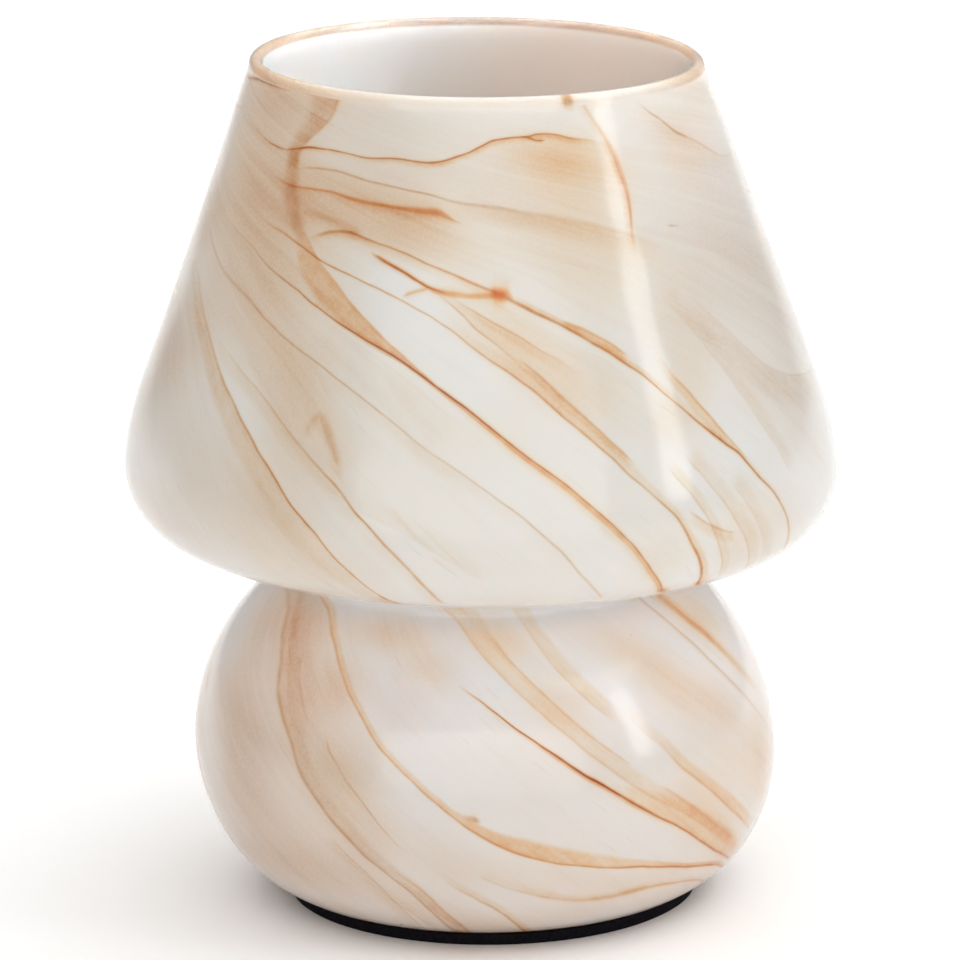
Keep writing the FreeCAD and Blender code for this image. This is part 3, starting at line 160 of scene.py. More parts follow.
# Lines of coloured glass drawn round the gather. Each has points (degrees round from the front,
# height in mm), half width in mm, depth of (amber, brown), a band on its upper right (+) or lower
# left (-) side as (width, amber, brown), that band's softness, and along its length keys of (share,
# strength of the line, strength of the band, width of the line, width of the band).
ENDS = ((0, 0, 0, 0.6), (0.07, 1, 1, 1), (0.93, 1, 1, 1), (1, 0, 0, 0.6))
LINES = [
    # shade, front
    dict(p=[(-35.6, 241), (-36.4, 237), (-37.2, 233), (-39.6, 229.3), (-42.6, 226), (-44.4, 223), (-44.8, 220), (-44.2, 217)],
         w=0.5, c=(0.25, 0.12), b=(-7.6, 0.46, 0.28), s=0.75, k=((0, 1, 1, 1, 1.2), (0.3, 1, 1.15, 1, 1.05), (0.6, 1, 1.1, 1, 0.6), (0.85, 0.6, 0.9, 1, 0.42), (1, 0, 0, 1, 0.36))),
    dict(p=[(-46.2, 226), (-46.2, 222), (-45.9, 218), (-45.1, 214), (-43.9, 210), (-42.2, 206), (-40.2, 202.8), (-38.2, 200.2)],
         w=2.3, c=(0.44, 0.24), b=(3.0, 0.10, 0.05), k=((0, 0, 0, 0.8), (0.2, 0.95, 0.5, 0.9), (0.45, 0.9, 0.8, 1), (0.7, 0.95, 1, 0.95), (0.85, 1.1, 0.6, 0.75), (1, 0, 0, 0.5))),
    dict(p=[(-38, 202), (-36, 199), (-34, 196.2), (-31.4, 193.4), (-28.6, 190.2), (-25.6, 186.6), (-22.2, 182.8), (-17.4, 177.4), (-14, 173.9), (-11.6, 171.2), (-9.6, 169)],
         w=0.35, c=(0.3, 0.10), b=(-7.5, 0.78, 0.13), s=0.25, k=((0, 0, 0.3, 1, 0.5), (0.12, 0.6, 0.8, 1, 0.8), (0.35, 1, 1, 1, 1), (0.6, 1, 1.05, 1, 0.62), (0.85, 1, 1.2, 1, 0.26), (1, 0.5, 0.6, 1, 0.1))),
    dict(p=[(-71, 226.8), (-65, 225.2), (-60, 224.1), (-56, 223), (-50, 222.2), (-46.5, 222.8), (-43, 223.9), (-40, 224.2), (-36, 224.3), (-31, 223.9), (-26, 223.4), (-20, 223.9), (-14, 223.4), (-11, 223.3), (-8, 223.8), (-5, 225.1), (-2, 226.2), (0, 227.4), (3, 228.9), (6, 229.5), (9, 229.9), (12, 230.1), (14, 230.5), (18, 230.2), (22, 229), (26, 228.2), (29, 227.6)],
         w=0.21, c=(0.95, 0.5), b=(-1.3, 0.28, 0.04), s=0.6, k=((0, 0, 0, 1), (0.12, 0.3, 0.4, 1), (0.18, 0.9, 0.5, 1), (0.22, 0.5, 0.4, 1), (0.28, 1.6, 1.2, 1.3), (0.34, 1, 0.4, 1), (0.42, 0.85, 0.5, 1), (0.48, 1, 1.2, 1), (0.55, 1, 1.2, 1), (0.62, 1.2, 2, 1.1), (0.7, 1.2, 1.5, 1), (0.8, 1.1, 1.4, 1), (0.86, 0.8, 1.6, 1), (0.93, 0.6, 1.6, 1.1), (1, 0, 0.2, 1.2))),
    dict(p=[(11, 230), (12.4, 229.6), (13.4, 229.0), (15.8, 228.9)], w=0.22, c=(0.9, 0.6), b=(-0.8, 0.2, 0.0), k=ENDS),
    dict(p=[(-45, 218), (-41, 218.8), (-37, 219.3), (-32, 218.9), (-25, 217.6), (-20, 216.8), (-15, 216), (-10, 215), (-6, 213.7), (-2, 213), (3, 212.2), (10, 210.8), (18, 208.8), (26, 206), (34, 202.5), (42, 198)],
         w=0.28, c=(0.35, 0.34), b=(-4.2, 0.14, 0.07), s=0.5, k=((0, 0, 0, 1), (0.08, 0.9, 0.2, 1), (0.4, 1, 0.4, 1), (0.5, 0.6, 1.2, 1.5), (0.62, 0.3, 1.5, 2), (0.85, 0.2, 1.2, 3), (1, 0, 0, 3))),
    dict(p=[(-51, 214.8), (-47, 213.8), (-44, 213.5), (-40, 213.6), (-34, 213.7), (-31, 213.2), (-28, 212.7), (-22, 211.8), (-16, 211.2), (-12, 210.9), (-9, 210.7), (-7.4, 210.1), (-6, 209.3), (-3.5, 208.2)],
         w=0.36, c=(1.25, 0.22), b=(-2.2, 0.25, 0.05), s=0.6, k=((0, 0, 0, 1), (0.1, 0.5, 0.3, 0.9), (0.25, 0.65, 0.5, 0.8), (0.4, 0.65, 0.8, 0.9), (0.52, 0.8, 1, 1.3), (0.7, 0.9, 1, 1.2), (0.8, 1.0, 1.3, 1.9), (0.88, 0.95, 1.3, 2.4), (0.93, 0.7, 0.7, 1.4), (0.97, 0.35, 0.4, 0.6), (1, 0, 0, 0.4))),
    dict(p=[(-40, 207.8), (-34, 207), (-30, 206.2), (-24.5, 204.4)], w=0.8, c=(0.2, 0.10), b=(-2.5, 0.1, 0.04), s=0.6, k=ENDS),
    dict(p=[(-37, 201), (-33.5, 202.9), (-30, 204), (-27, 204.1), (-24, 203.1), (-20, 201.6), (-15, 200), (-10, 197.5), (-5, 195), (-2, 193.4), (0.6, 192), (2.8, 190.7)],
         w=0.26, c=(0.75, 0.34), b=(-1.6, 0.2, 0.05), s=0.7, k=((0, 0, 0.2, 1.4), (0.12, 0.9, 1.2, 1.5), (0.28, 1.2, 1.2, 1.2), (0.4, 0.9, 0.5, 0.9), (0.7, 0.8, 0.5, 1), (0.9, 1, 1, 1.3), (1, 0.8, 0, 1.5))),
    dict(p=[(-21.6, 199.2), (-18, 196.9), (-15, 195.1), (-12.4, 193.3), (-10, 191.6), (-7.6, 190.7)],
         w=0.3, c=(1.8, 0.8), b=(0.8, 0.35, 0.04), k=((0, 0, 0, 1.2), (0.07, 0.8, 0.3, 1.2), (0.5, 1.1, 0.6, 1), (0.8, 0.9, 1, 1), (1, 0.2, 0, 1))),
    dict(p=[(-11, 191.7), (-8.4, 190.8), (-6, 190.3), (-3, 189.9), (0, 189.8), (3, 190)],
         w=0.75, c=(0.95, 0.05), b=(1.6, 0.1, 0.0), k=((0, 0, 0, 0.5), (0.15, 0.9, 0.5, 0.9), (0.35, 1.05, 1, 1), (0.6, 0.8, 1, 0.9), (0.85, 1, 1, 1), (1, 1, 0, 1.2))),
    dict(p=[(1.4, 190.6), (2.8, 190.5), (4.2, 190.1), (5.8, 189.3)], w=1.5, c=(1.5, 0.0), b=(-3.0, 0.15, 0.0), s=0.8, k=((0, 0, 0, 0.7), (0.25, 1, 1, 1), (0.7, 1.1, 1, 1), (1, 0, 0, 0.6))),
    dict(p=[(-14.8, 189.2), (-12.6, 190.4), (-10.2, 191.3)], w=0.45, c=(0.55, 0.15), b=(-1.0, 0.12, 0.0), k=ENDS),
    dict(p=[(-8.6, 190.4), (-6.6, 188.6), (-4, 185.8), (-1, 181.6), (2, 178.4), (5, 174.6), (8, 170)],
         w=0.26, c=(0.4, 0.22), b=(5.2, 0.2, 0.03), s=0.35, k=((0, 0, 0, 1, 0.1), (0.2, 1, 0.7, 1, 0.3), (0.45, 0.9, 1, 1, 0.7), (0.7, 0.7, 1, 1, 1), (1, 0, 0, 1.5, 1.2))),
    dict(p=[(-5.6, 189.6), (-2, 186.4), (1, 184), (5, 181), (10, 176.4), (14, 172.8), (18, 168)],
         w=0.26, c=(0.4, 0.2), b=(-2.6, 0.22, 0.04), s=0.4, k=((0, 0, 0, 1, 0.3), (0.2, 0.9, 0.8, 1, 0.6), (0.6, 0.7, 1, 1, 1), (1, 0, 0, 1.5, 1))),
    dict(p=[(5, 189.4), (8, 187.2), (10, 185.6), (15, 182), (18, 179.4), (22, 175.6), (25.6, 171.8), (29, 167.9), (33, 162), (36, 157.6), (40, 151.9), (43.6, 146.6), (46, 143.6), (50, 136), (53, 131), (55, 126.6), (57, 121.6), (60, 113.8), (62, 109)],
         w=0.3, c=(1.0, 0.55), b=(1.5, 0.3, 0.03), s=0.4, k=((0, 0.6, 0, 1.4), (0.05, 1, 1, 1.4), (0.1, 0.9, 1.2, 1.2), (0.2, 0.9, 1.2, 1.1), (0.3, 1, 1.6, 1.1), (0.38, 0.7, 0.6, 0.8), (0.45, 0.6, 0.3, 0.8), (0.52, 0.9, 0.4, 1), (0.58, 1.2, 0.4, 1.0), (0.66, 1.2, 0.4, 1.05), (0.74, 0.9, 0.2, 1.0), (0.85, 0.5, 0.2, 1.1), (0.93, 0.42, 0.1, 1.4), (1, 0.36, 0.1, 1.6))),
    dict(p=[(15.4, 183), (19.6, 180.2), (23, 177.2), (27, 172.8)], w=0.4, c=(0.45, 0.12), b=(-1.8, 0.3, 0.02), k=ENDS),
    dict(p=[(33.2, 173), (35.2, 167), (37.4, 163), (39.4, 158.6), (41.3, 155), (43, 151), (44.8, 147.4), (46.8, 143.4)],
         w=0.3, c=(0.5, 0.16), b=(-3.4, 0.38, 0.08), s=0.3, k=((0, 0, 0, 1, 0.5), (0.2, 0.4, 0.6, 1.2, 0.6), (0.45, 0.9, 1, 1.2, 0.8), (0.75, 1, 1.3, 1.3, 0.9), (1, 0.4, 0, 1, 0.3))),
    dict(p=[(-51, 203.4), (-48, 202.4), (-45, 201.5), (-40, 199.5), (-35, 196.9), (-32, 195.5), (-27, 193.6), (-22, 191.4), (-17, 189), (-12, 186.1), (-8, 183.2), (-4, 179.6), (0, 175.2), (5, 170), (10, 164.3), (15, 157), (20, 149.8), (24, 143), (27, 138.2), (30, 133.4), (32, 129.6), (34.6, 122), (37, 115.6), (39.8, 108)],
         w=0.25, c=(0.64, 0.32), b=(4.2, 0.27, 0.05), s=0.35, k=((0, 0, 0, 1), (0.08, 1, 0, 0.9), (0.16, 1.3, 0.1, 0.9), (0.26, 0.9, 0, 0.9), (0.38, 0.7, 0, 1), (0.44, 0.7, 0.5, 1, 0.5), (0.5, 0.9, 0.9, 1.1, 0.8), (0.6, 1.1, 1.3, 1.2, 0.95), (0.7, 0.9, 1.1, 1.2, 0.8), (0.78, 0.6, 0.6, 1, 0.5), (0.86, 1.2, 0.8, 1.3, 0.4), (0.93, 1.7, 1.3, 1.5, 0.5), (1, 1.7, 1.5, 1.6, 0.55))),
    dict(p=[(6.5, 173.6), (10, 169.6), (14, 163.4), (18, 157.4), (21.5, 151.8), (25, 146)], w=0.35, c=(0.35, 0.16), b=(-1.8, 0.2, 0.04), s=0.4, k=ENDS),
    dict(p=[(-64, 200.4), (-58, 198.2), (-52, 195.6), (-47, 192.4), (-42, 189.9), (-37, 187.2), (-32, 183.9), (-27, 180.8), (-23, 178.3), (-18, 175.3), (-14, 172.3), (-10, 168.8), (-5, 163.7), (0, 158.3), (5, 152), (10, 145.9), (15, 139.2), (20, 131.1), (24, 124), (26, 119.6), (28, 115.4), (30, 112), (32, 108)],
         w=0.22, c=(1.35, 1.0), b=(0.9, 0.22, 0.0), s=0.6, k=((0, 0, 0, 1), (0.12, 0.2, 0, 0.9), (0.22, 0.45, 0, 0.9), (0.32, 0.6, 0.3, 1), (0.4, 1.0, 1, 1.05), (0.48, 1.35, 1, 1.15), (0.55, 1.3, 0.6, 1.2), (0.6, 0.9, 0.3, 1), (0.7, 0.5, 0.1, 0.9), (0.85, 0.4, 0.1, 0.9), (1, 0.45, 0.1, 1))),
    dict(p=[(-14.4, 172.3), (-10.2, 168.5), (-5.2, 163.3), (-0.2, 157.9), (4.8, 151.6), (9.8, 145.4), (14.8, 138.7), (19.8, 130.6), (23.8, 123.5), (25.8, 119.2), (27.8, 115), (29.8, 111.6), (31.8, 107.6)],
         w=0.70, c=(0.92, 0.08), b=(-1.6, 0.1, 0.02), s=0.6, k=((0, 0, 0, 0.3), (0.15, 0.5, 0.6, 0.5), (0.3, 0.95, 1, 0.8), (0.45, 0.95, 1, 1), (0.7, 0.72, 1, 1.05), (0.85, 0.6, 0.8, 1), (1, 0.8, 1, 1.1))),
    dict(p=[(-76, 197.2), (-72, 195.2), (-68, 192.3), (-65, 190.3), (-60, 187.6), (-54, 184.9), (-50, 183), (-45, 179.6), (-40, 176.2), (-35, 173), (-30, 169.7), (-25, 166), (-20, 161.8), (-15, 157), (-10, 151.6), (-5, 146.8), (0, 141.2), (5, 135.2), (10, 127.7), (13, 122.4), (16, 116), (20, 109)],
         w=0.26, c=(0.3, 0.36), b=(-3.4, 0.06, 0.04), s=0.5, k=((0, 0, 0, 1), (0.1, 0.5, 0.8, 2), (0.22, 0.5, 0.6, 2), (0.28, 0.8, 0.3, 1), (0.4, 1, 0.5, 1), (0.55, 0.8, 1.2, 1), (0.65, 0.55, 1.4, 1), (0.8, 0.8, 0.6, 1), (1, 0.8, 0.3, 1.4))),
    dict(p=[(-76, 187), (-70, 183), (-66, 178.6), (-60, 172), (-55, 166), (-50, 159.6), (-45, 153.6), (-40, 147), (-35, 139.8), (-32, 134.6), (-30, 131.4), (-27, 127.4), (-25, 123.6), (-22, 118), (-20, 114.4), (-16.5, 108)],
         w=0.26, c=(0.72, 0.36), b=(-5.6, 0.27, 0.14), s=0.3, k=((0, 0, 0.2, 2, 0.7), (0.12, 0.1, 0.7, 2, 0.8), (0.28, 0.35, 0.95, 1.8, 0.8), (0.42, 0.7, 1.1, 1.3, 0.95), (0.52, 0.8, 1.15, 1.2, 1.05), (0.64, 1.15, 1.05, 1, 1.1), (0.74, 1.45, 0.8, 0.9, 1.15), (0.85, 1.1, 0.6, 0.8, 1.1), (1, 0.9, 0.4, 0.9, 0.9))),
    dict(p=[(-56, 171), (-50, 166.8), (-45, 162.9), (-40, 158.8), (-35, 153.4), (-30, 147.4), (-25, 141.3), (-22, 137), (-20, 133.4), (-18, 130.4), (-15, 125.2), (-12, 120.3), (-10, 115.8), (-7, 108.5)],
         w=0.27, c=(0.55, 0.36), b=(-3.4, 0.13, 0.08), s=0.5, k=((0, 0, 0, 1), (0.15, 0.3, 1, 1), (0.45, 0.45, 1, 1.2), (0.62, 0.9, 0.8, 1), (0.7, 1.5, 0.5, 1), (0.85, 0.9, 0.5, 1.3), (1, 0.8, 0.8, 2))),
    dict(p=[(-30.5, 151), (-29.8, 155), (-28.2, 157.4), (-26.4, 155), (-25, 150.6), (-23.6, 145.8), (-22.6, 142)], w=0.8, c=(0.12, 0.08), b=(-2.6, 0.14, 0.06), s=0.6, k=ENDS),
    dict(p=[(-27.6, 155.4), (-26.2, 151.6), (-24.8, 148), (-23.6, 144.6)], w=0.6, c=(0.12, 0.10), b=(1.8, 0.12, 0.04), s=0.6, k=ENDS),
    dict(p=[(23.6, 241), (25.4, 239), (27.2, 236.6), (28.6, 233.4), (30, 230.6), (31.4, 227.4), (32.6, 223.4), (33.4, 219), (33.9, 214), (33.7, 209), (33.1, 203.6), (32.8, 198)],
         w=0.62, c=(0.55, 0.34), b=(-1.9, 0.25, 0.1), s=0.4, k=((0, 1.2, 0.6, 1.2), (0.12, 0.4, 0.3, 0.8), (0.3, 0.5, 0.4, 1), (0.45, 0.9, 1, 1.3), (0.55, 1.1, 1.2, 1.3), (0.66, 1.25, 1.1, 0.9), (0.78, 1.25, 0.9, 0.6), (0.88, 0.6, 0.5, 0.9), (1, 0, 0, 1.3))),
    dict(p=[(-86, 234.6), (-79, 235.8), (-72, 236.7), (-65, 237.2), (-58, 237.2), (-53, 236.8)], w=0.34, c=(0.5, 0.8), b=(1.2, 0.2, 0.14), s=0.5, k=((0, 0, 0, 1), (0.2, 0.7, 0.6, 1), (0.5, 1, 1, 1.3), (0.7, 1.3, 1, 1.5), (1, 0, 0, 0.6))),
    dict(p=[(43, 236), (46, 233.2), (50, 230), (53, 227), (56.4, 225), (60, 223.2), (65, 220), (69, 217.6), (75, 216), (82, 215)],
         w=0.32, c=(0.4, 0.34), b=(-3.2, 0.1, 0.06), s=0.5, k=((0, 0, 0, 1), (0.1, 0.9, 0.4, 0.8), (0.22, 1.1, 1, 1), (0.34, 1.4, 1, 1.2), (0.42, 0.5, 0.8, 1), (0.7, 0.35, 0.8, 1.2), (1, 0, 0, 1))),
    dict(p=[(44, 186), (48, 179.4), (53, 172), (58, 165), (63, 160.4), (69, 157.4), (76, 155.4), (84, 154)],
         w=0.3, c=(0.06, 0.1), b=(-8.5, 0.10, 0.17), s=0.35, k=((0, 0, 0, 1, 0.6), (0.12, 0.6, 0.8, 1, 0.8), (0.5, 1, 1, 1, 1), (0.8, 1, 1, 1, 1), (1, 0, 0, 1, 1))),
    dict(p=[(36, 188), (39.6, 182), (43, 175), (47, 166), (51, 156), (55, 145), (59, 133)], w=0.3, c=(0.05, 0.05), b=(4.2, 0.10, 0.09), s=0.5, k=ENDS),
    dict(p=[(34.5, 131), (37, 127.6), (40.4, 124.6), (43.4, 123)], w=0.3, c=(0.2, 0.2), b=(-2.6, 0.2, 0.06), s=0.4, k=ENDS),
    dict(p=[(31, 144), (34.6, 136), (37.4, 129), (39.6, 121.6), (42, 114.4), (44, 108)], w=0.3, c=(0.2, 0.14), b=(2.6, 0.16, 0.05), s=0.3, k=ENDS),
    dict(p=[(34.6, 146), (38.6, 137.6), (42, 130), (45.4, 121.6), (48.4, 114.6), (51, 108)], w=0.3, c=(0.14, 0.12), b=(4.0, 0.15, 0.06), s=0.35, k=ENDS),
    dict(p=[(43, 137), (46.4, 129.6), (49.4, 122), (52.4, 114), (54.6, 108)], w=0.3, c=(0.06, 0.05), b=(3.6, 0.12, 0.08), s=0.4, k=ENDS),
    dict(p=[(42.8, 203.9), (45.2, 203.4)], w=0.3, c=(0.2, 0.4), b=(-0.6, 0.0, 0.0), k=((0, 0, 0, 1), (0.3, 1, 1, 1), (0.7, 1, 1, 1), (1, 0, 0, 1))),
    dict(p=[(-30, 181), (-22, 175.4), (-15, 169.6), (-9, 163.4), (-3, 156)], w=0.3, c=(0.03, 0.03), b=(-9.0, 0.07, 0.05), s=0.7, k=ENDS),
    dict(p=[(-26, 140), (-20, 134.6), (-13, 129.6), (-6, 123), (0, 115.6)], w=0.3, c=(0.03, 0.04), b=(4.0, 0.06, 0.04), s=0.6, k=ENDS),
    # under the shade and over the waist, where the lines run on
    dict(p=[(-16.5, 108), (-12, 103), (-7, 98), (-2, 93.5)], w=0.6, c=(0.6, 0.35), b=(-4.0, 0.3, 0.1), k=((0, 1, 1, 1), (0.8, 0.4, 0.4, 1), (1, 0, 0, 1))),
    dict(p=[(32, 108), (37, 103), (43, 97), (49, 92.6)], w=0.9, c=(0.9, 0.3), b=(2.0, 0.2, 0.06), k=((0, 1, 1, 1), (0.8, 0.4, 0.4, 1), (1, 0, 0, 1))),
    dict(p=[(39.8, 108), (46, 102), (52, 96), (56, 91)], w=0.7, c=(1.0, 0.4), b=(4.0, 0.3, 0.1), k=((0, 1, 1, 1), (0.8, 0.4, 0.4, 1), (1, 0, 0, 1))),
    # base, front
    dict(p=[(-78, 94), (-70, 93), (-64, 91), (-60, 88.6), (-56, 84), (-52.4, 79.4), (-50, 74.4), (-47.8, 69.6), (-45, 65), (-42, 60), (-40.2, 56.2), (-38.6, 52.4), (-36.4, 48.6), (-33.4, 44), (-30, 38.6), (-26.4, 33.6), (-24, 30), (-20, 25.4), (-17, 21.6), (-15, 18.4), (-13, 14.4), (-11, 10), (-9, 5)],
         w=0.42, c=(0.30, 0.28), b=(5.6, 0.18, 0.17), s=0.3, k=((0, 0.2, 0.3, 2, 1), (0.14, 0.5, 0.8, 1.8, 1), (0.26, 0.7, 1, 1.6, 1.2), (0.38, 1, 1.15, 1.5, 1.1), (0.5, 1.2, 1.1, 1.2, 0.9), (0.58, 1.2, 1.0, 1.1, 0.8), (0.66, 1.2, 0.9, 1, 0.8), (0.76, 1.1, 0.7, 0.9, 0.7), (0.88, 1, 0.6, 0.9, 0.7), (0.95, 1, 0.7, 1.3, 0.7), (1, 1.2, 0.8, 1.8, 0.8))),
    dict(p=[(-61, 93), (-57, 89), (-53, 84.6), (-50, 80.4), (-47, 75), (-44.4, 69), (-41.6, 62.6), (-39.4, 57)], w=0.5, c=(0.05, 0.05), b=(8.4, 0.16, 0.20), s=0.4, k=((0, 0.5, 0.8, 1), (0.2, 1, 1, 1), (0.7, 1, 0.8, 0.9), (1, 0, 0, 0.5))),
    dict(p=[(-46.6, 82), (-44.6, 77.4), (-42.6, 73.4), (-40.4, 69.4), (-38, 65)], w=0.45, c=(0.12, 0.12), b=(-1.8, 0.08, 0.05), k=ENDS),
    dict(p=[(-33.4, 63.4), (-31.6, 58.6), (-29.6, 55.6), (-27.6, 52), (-25, 48.2), (-22.4, 43.8), (-20, 39.6), (-17.4, 35.5), (-15, 33)], w=0.26, c=(0.25, 0.26), b=(-2.0, 0.05, 0.03), k=((0, 0, 0, 1), (0.1, 1, 1, 1.2), (0.3, 0.5, 0.6, 1), (0.42, 1, 1, 1.2), (0.75, 0.9, 0.8, 0.9), (1, 0, 0, 1))),
    dict(p=[(-52, 95), (-47, 92.4), (-44, 90.7), (-41, 88), (-38, 85.1), (-35, 81.3), (-32, 77.6), (-30, 74.6), (-26, 69.4), (-22, 63.2), (-18, 58.3), (-14, 53.8), (-10, 49), (-7, 45.6), (-4.4, 42.8), (-2.4, 40.6), (0, 38.4), (3, 36), (6, 34), (10, 32), (13, 30.7), (16, 29.6), (20, 28.6), (25, 27.3), (30, 26.2), (35, 25), (40, 23.6), (45, 21.8), (50, 20.2), (55, 18.6), (60, 16.4), (66, 13)],
         w=0.28, c=(0.72, 0.24), b=(4.8, 0.70, 0.04), s=0.28, k=((0, 0.4, 0.3, 1.6, 0.5), (0.08, 0.6, 0.45, 1.2, 0.42), (0.2, 0.6, 0.45, 1.1, 0.36), (0.34, 0.65, 0.5, 1, 0.32), (0.44, 0.85, 0.7, 1, 0.38), (0.5, 1.1, 1.05, 1.1, 0.62), (0.55, 1.1, 1.1, 1.1, 0.95), (0.62, 0.9, 1, 1, 1.0), (0.68, 1, 0.8, 1, 0.8), (0.74, 1.6, 0.7, 1.1, 0.5), (0.82, 1.7, 0.8, 1.2, 0.3), (0.9, 1.7, 1, 1.3, 0.3), (1, 1, 0.8, 1.6, 0.3))),
    dict(p=[(-3.8, 45.0), (-2.4, 44.4), (-0.9, 43.6)], w=0.7, c=(0.9, 0.5), b=(-1.0, 0.1, 0.0), k=((0, 0, 0, 0.7), (0.5, 1, 1, 1), (1, 0, 0, 0.7))),
    dict(p=[(-5.6, 79), (-3.4, 77.2), (-2, 76.3), (0, 74.6), (3, 71.8), (5, 69.7), (7.5, 67.2), (10, 64.8), (15, 60), (18, 57), (20, 55), (23, 52.2), (25, 50.2), (30, 45.4), (35, 40.8), (38, 38.2), (40, 36.3), (45, 31.6), (50, 27), (53, 24.4), (57, 21.6), (60, 19.6), (64, 17)],
         w=0.22, c=(1.5, 0.9), b=(7.6, 0.46, 0.03), s=0.25, k=((0, 0, 0, 1), (0.05, 0.35, 0, 1.1), (0.12, 0.8, 0, 0.9), (0.24, 1.1, 0, 0.9), (0.3, 1.3, 0, 1.1), (0.38, 1.5, 0.05, 1.3), (0.44, 1.4, 0.2, 1.2, 0.3), (0.5, 0.9, 0.7, 1.3, 0.5), (0.58, 0.8, 1, 1.3, 0.75), (0.7, 0.7, 1, 1.2, 0.95), (0.8, 0.7, 1.1, 1.3, 1), (0.9, 0.8, 1.3, 1.6, 0.9), (1, 0.5, 0.8, 1.8, 0.6))),
    dict(p=[(5, 69.2), (10, 64.3), (15, 59.5), (20, 54.5), (25, 49.7), (30, 44.9), (35, 40.3), (40, 35.8)], w=0.7, c=(0.5, 0.08), b=(-1.0, 0.0, 0.0), k=((0, 0, 0, 0.5), (0.3, 1, 1, 0.8), (0.7, 1, 1, 1), (1, 0, 0, 0.8))),
    dict(p=[(-13, 99), (-9, 95.4), (-5.4, 92), (-3, 89.2), (0, 85.9), (5, 80), (10, 74.2), (15, 68.2), (20, 62), (25.4, 55.6), (30, 50.4), (35, 45.6), (40, 41.2), (45, 36.4), (50, 31.8), (55, 27.4), (61, 22)],
         w=0.3, c=(0.26, 0.1), b=(5.0, 0.24, 0.04), s=0.22, k=((0, 0.6, 0.6, 1, 1.2), (0.1, 1, 1, 1, 1.2), (0.2, 1.1, 1.05, 1, 1.05), (0.3, 1, 1.05, 1, 0.95), (0.45, 1, 1.05, 1.1, 0.95), (0.6, 0.8, 1, 1.2, 0.8), (0.75, 0.5, 0.9, 1.4, 0.7), (1, 0.2, 0.4, 1.4, 0.6))),
    dict(p=[(2, 90), (6, 85), (10.4, 79.6), (16, 72.6), (21, 66), (25, 61.4), (30, 56)], w=0.28, c=(0.22, 0.14), b=(-1.4, 0.08, 0.02), k=ENDS),
    dict(p=[(36, 49.4), (40, 45.2), (45, 39.8), (50, 34.6), (55, 29.6), (60, 25.4)], w=0.4, c=(0.25, 0.12), b=(-2.4, 0.14, 0.04), s=0.4, k=ENDS),
    dict(p=[(7.4, 98), (10.6, 93), (13, 88.6), (15.4, 84.4), (19, 79), (22, 74.8), (24.6, 71.4), (27.5, 68)],
         w=0.3, c=(0.16, 0.06), b=(4.6, 0.24, 0.05), s=0.2, k=((0, 0.6, 0.9, 1, 1), (0.15, 0.8, 1, 1, 0.85), (0.5, 1.1, 1.1, 1, 0.9), (0.8, 1, 1.05, 1, 0.95), (0.93, 0.6, 0.9, 1, 0.8), (1, 0, 0, 1, 0.6))),
    dict(p=[(31, 68.4), (34.4, 63.4), (37.4, 59.6), (39.4, 56.4), (41.4, 53.2), (44, 49.8), (47, 46.4), (50, 43), (53.4, 39), (57, 35), (60.4, 31.8), (64, 28.4), (68, 25)],
         w=0.36, c=(0.36, 0.14), b=(3.8, 0.38, 0.06), s=0.22, k=((0, 0, 0.1, 1, 0.8), (0.14, 0.2, 0.4, 1, 0.8), (0.22, 0.4, 0.7, 1, 0.8), (0.3, 1, 0.9, 1.4, 0.8), (0.5, 1, 1.1, 1, 0.8), (0.7, 1.1, 1.2, 1.2, 0.9), (0.85, 0.9, 1.1, 1.4, 0.9), (1, 0.5, 0.5, 1.6, 0.8))),
    dict(p=[(46.5, 98), (49, 94.4), (51, 91.4), (53, 88), (55.6, 83.8), (58.4, 79.2), (60.4, 75.6), (63, 71.6), (66, 67.2), (70, 61.6), (74, 56), (78, 51)],
         w=0.45, c=(0.22, 0.30), b=(-1.4, 0.08, 0.04), k=((0, 0.8, 0, 1), (0.3, 1.1, 1, 1), (0.6, 0.9, 1, 1), (1, 0.1, 0.1, 1.5))),
    dict(p=[(55, 97), (57.4, 92.6), (60.4, 87.4), (63, 83.4), (65.4, 79.6), (68.4, 74.6), (72, 69), (77, 62)],
         w=1.15, c=(0.62, 0.22), b=(3.0, 0.26, 0.05), s=0.4, k=((0, 0.5, 1, 0.8), (0.15, 1, 1.2, 1.1), (0.4, 1.1, 0.8, 1), (0.65, 0.7, 0.5, 1), (1, 0.1, 0.1, 1.2))),
    dict(p=[(4.6, 22.6), (8, 20.9), (12, 19.2), (15, 18.1), (20, 17.1), (26, 16.9), (30, 17.4), (36, 17.8), (40, 17.5), (45, 16.4), (50, 15.3), (55, 13.2), (60, 10.4), (65, 8), (70, 6.4), (76, 5)],
         w=0.7, c=(0.52, 0.18), b=(2.2, 0.2, 0.05), s=0.5, k=((0, 0, 0.2, 1), (0.12, 0.35, 1, 1), (0.25, 0.8, 1, 1.2), (0.36, 1.1, 0.8, 1.4), (0.46, 1, 0.5, 0.9), (0.56, 1.1, 0.4, 0.6), (0.7, 0.9, 0.5, 0.6), (0.85, 0.9, 0.5, 0.9), (1, 0.7, 0.3, 1.2))),
    dict(p=[(-9, 25.8), (-5.4, 22), (-2, 18.6), (1, 16), (4, 12.2), (6, 9.2), (8, 6.2), (10, 3.4)],
         w=0.36, c=(0.5, 0.3), b=(2.2, 0.26, 0.08), s=0.3, k=((0, 0, 0.1, 1.4), (0.15, 0.4, 0.5, 1.3), (0.3, 0.6, 0.8, 1.2), (0.6, 1, 1, 1), (0.8, 1.2, 1.3, 1), (1, 1.2, 1.5, 1.4))),
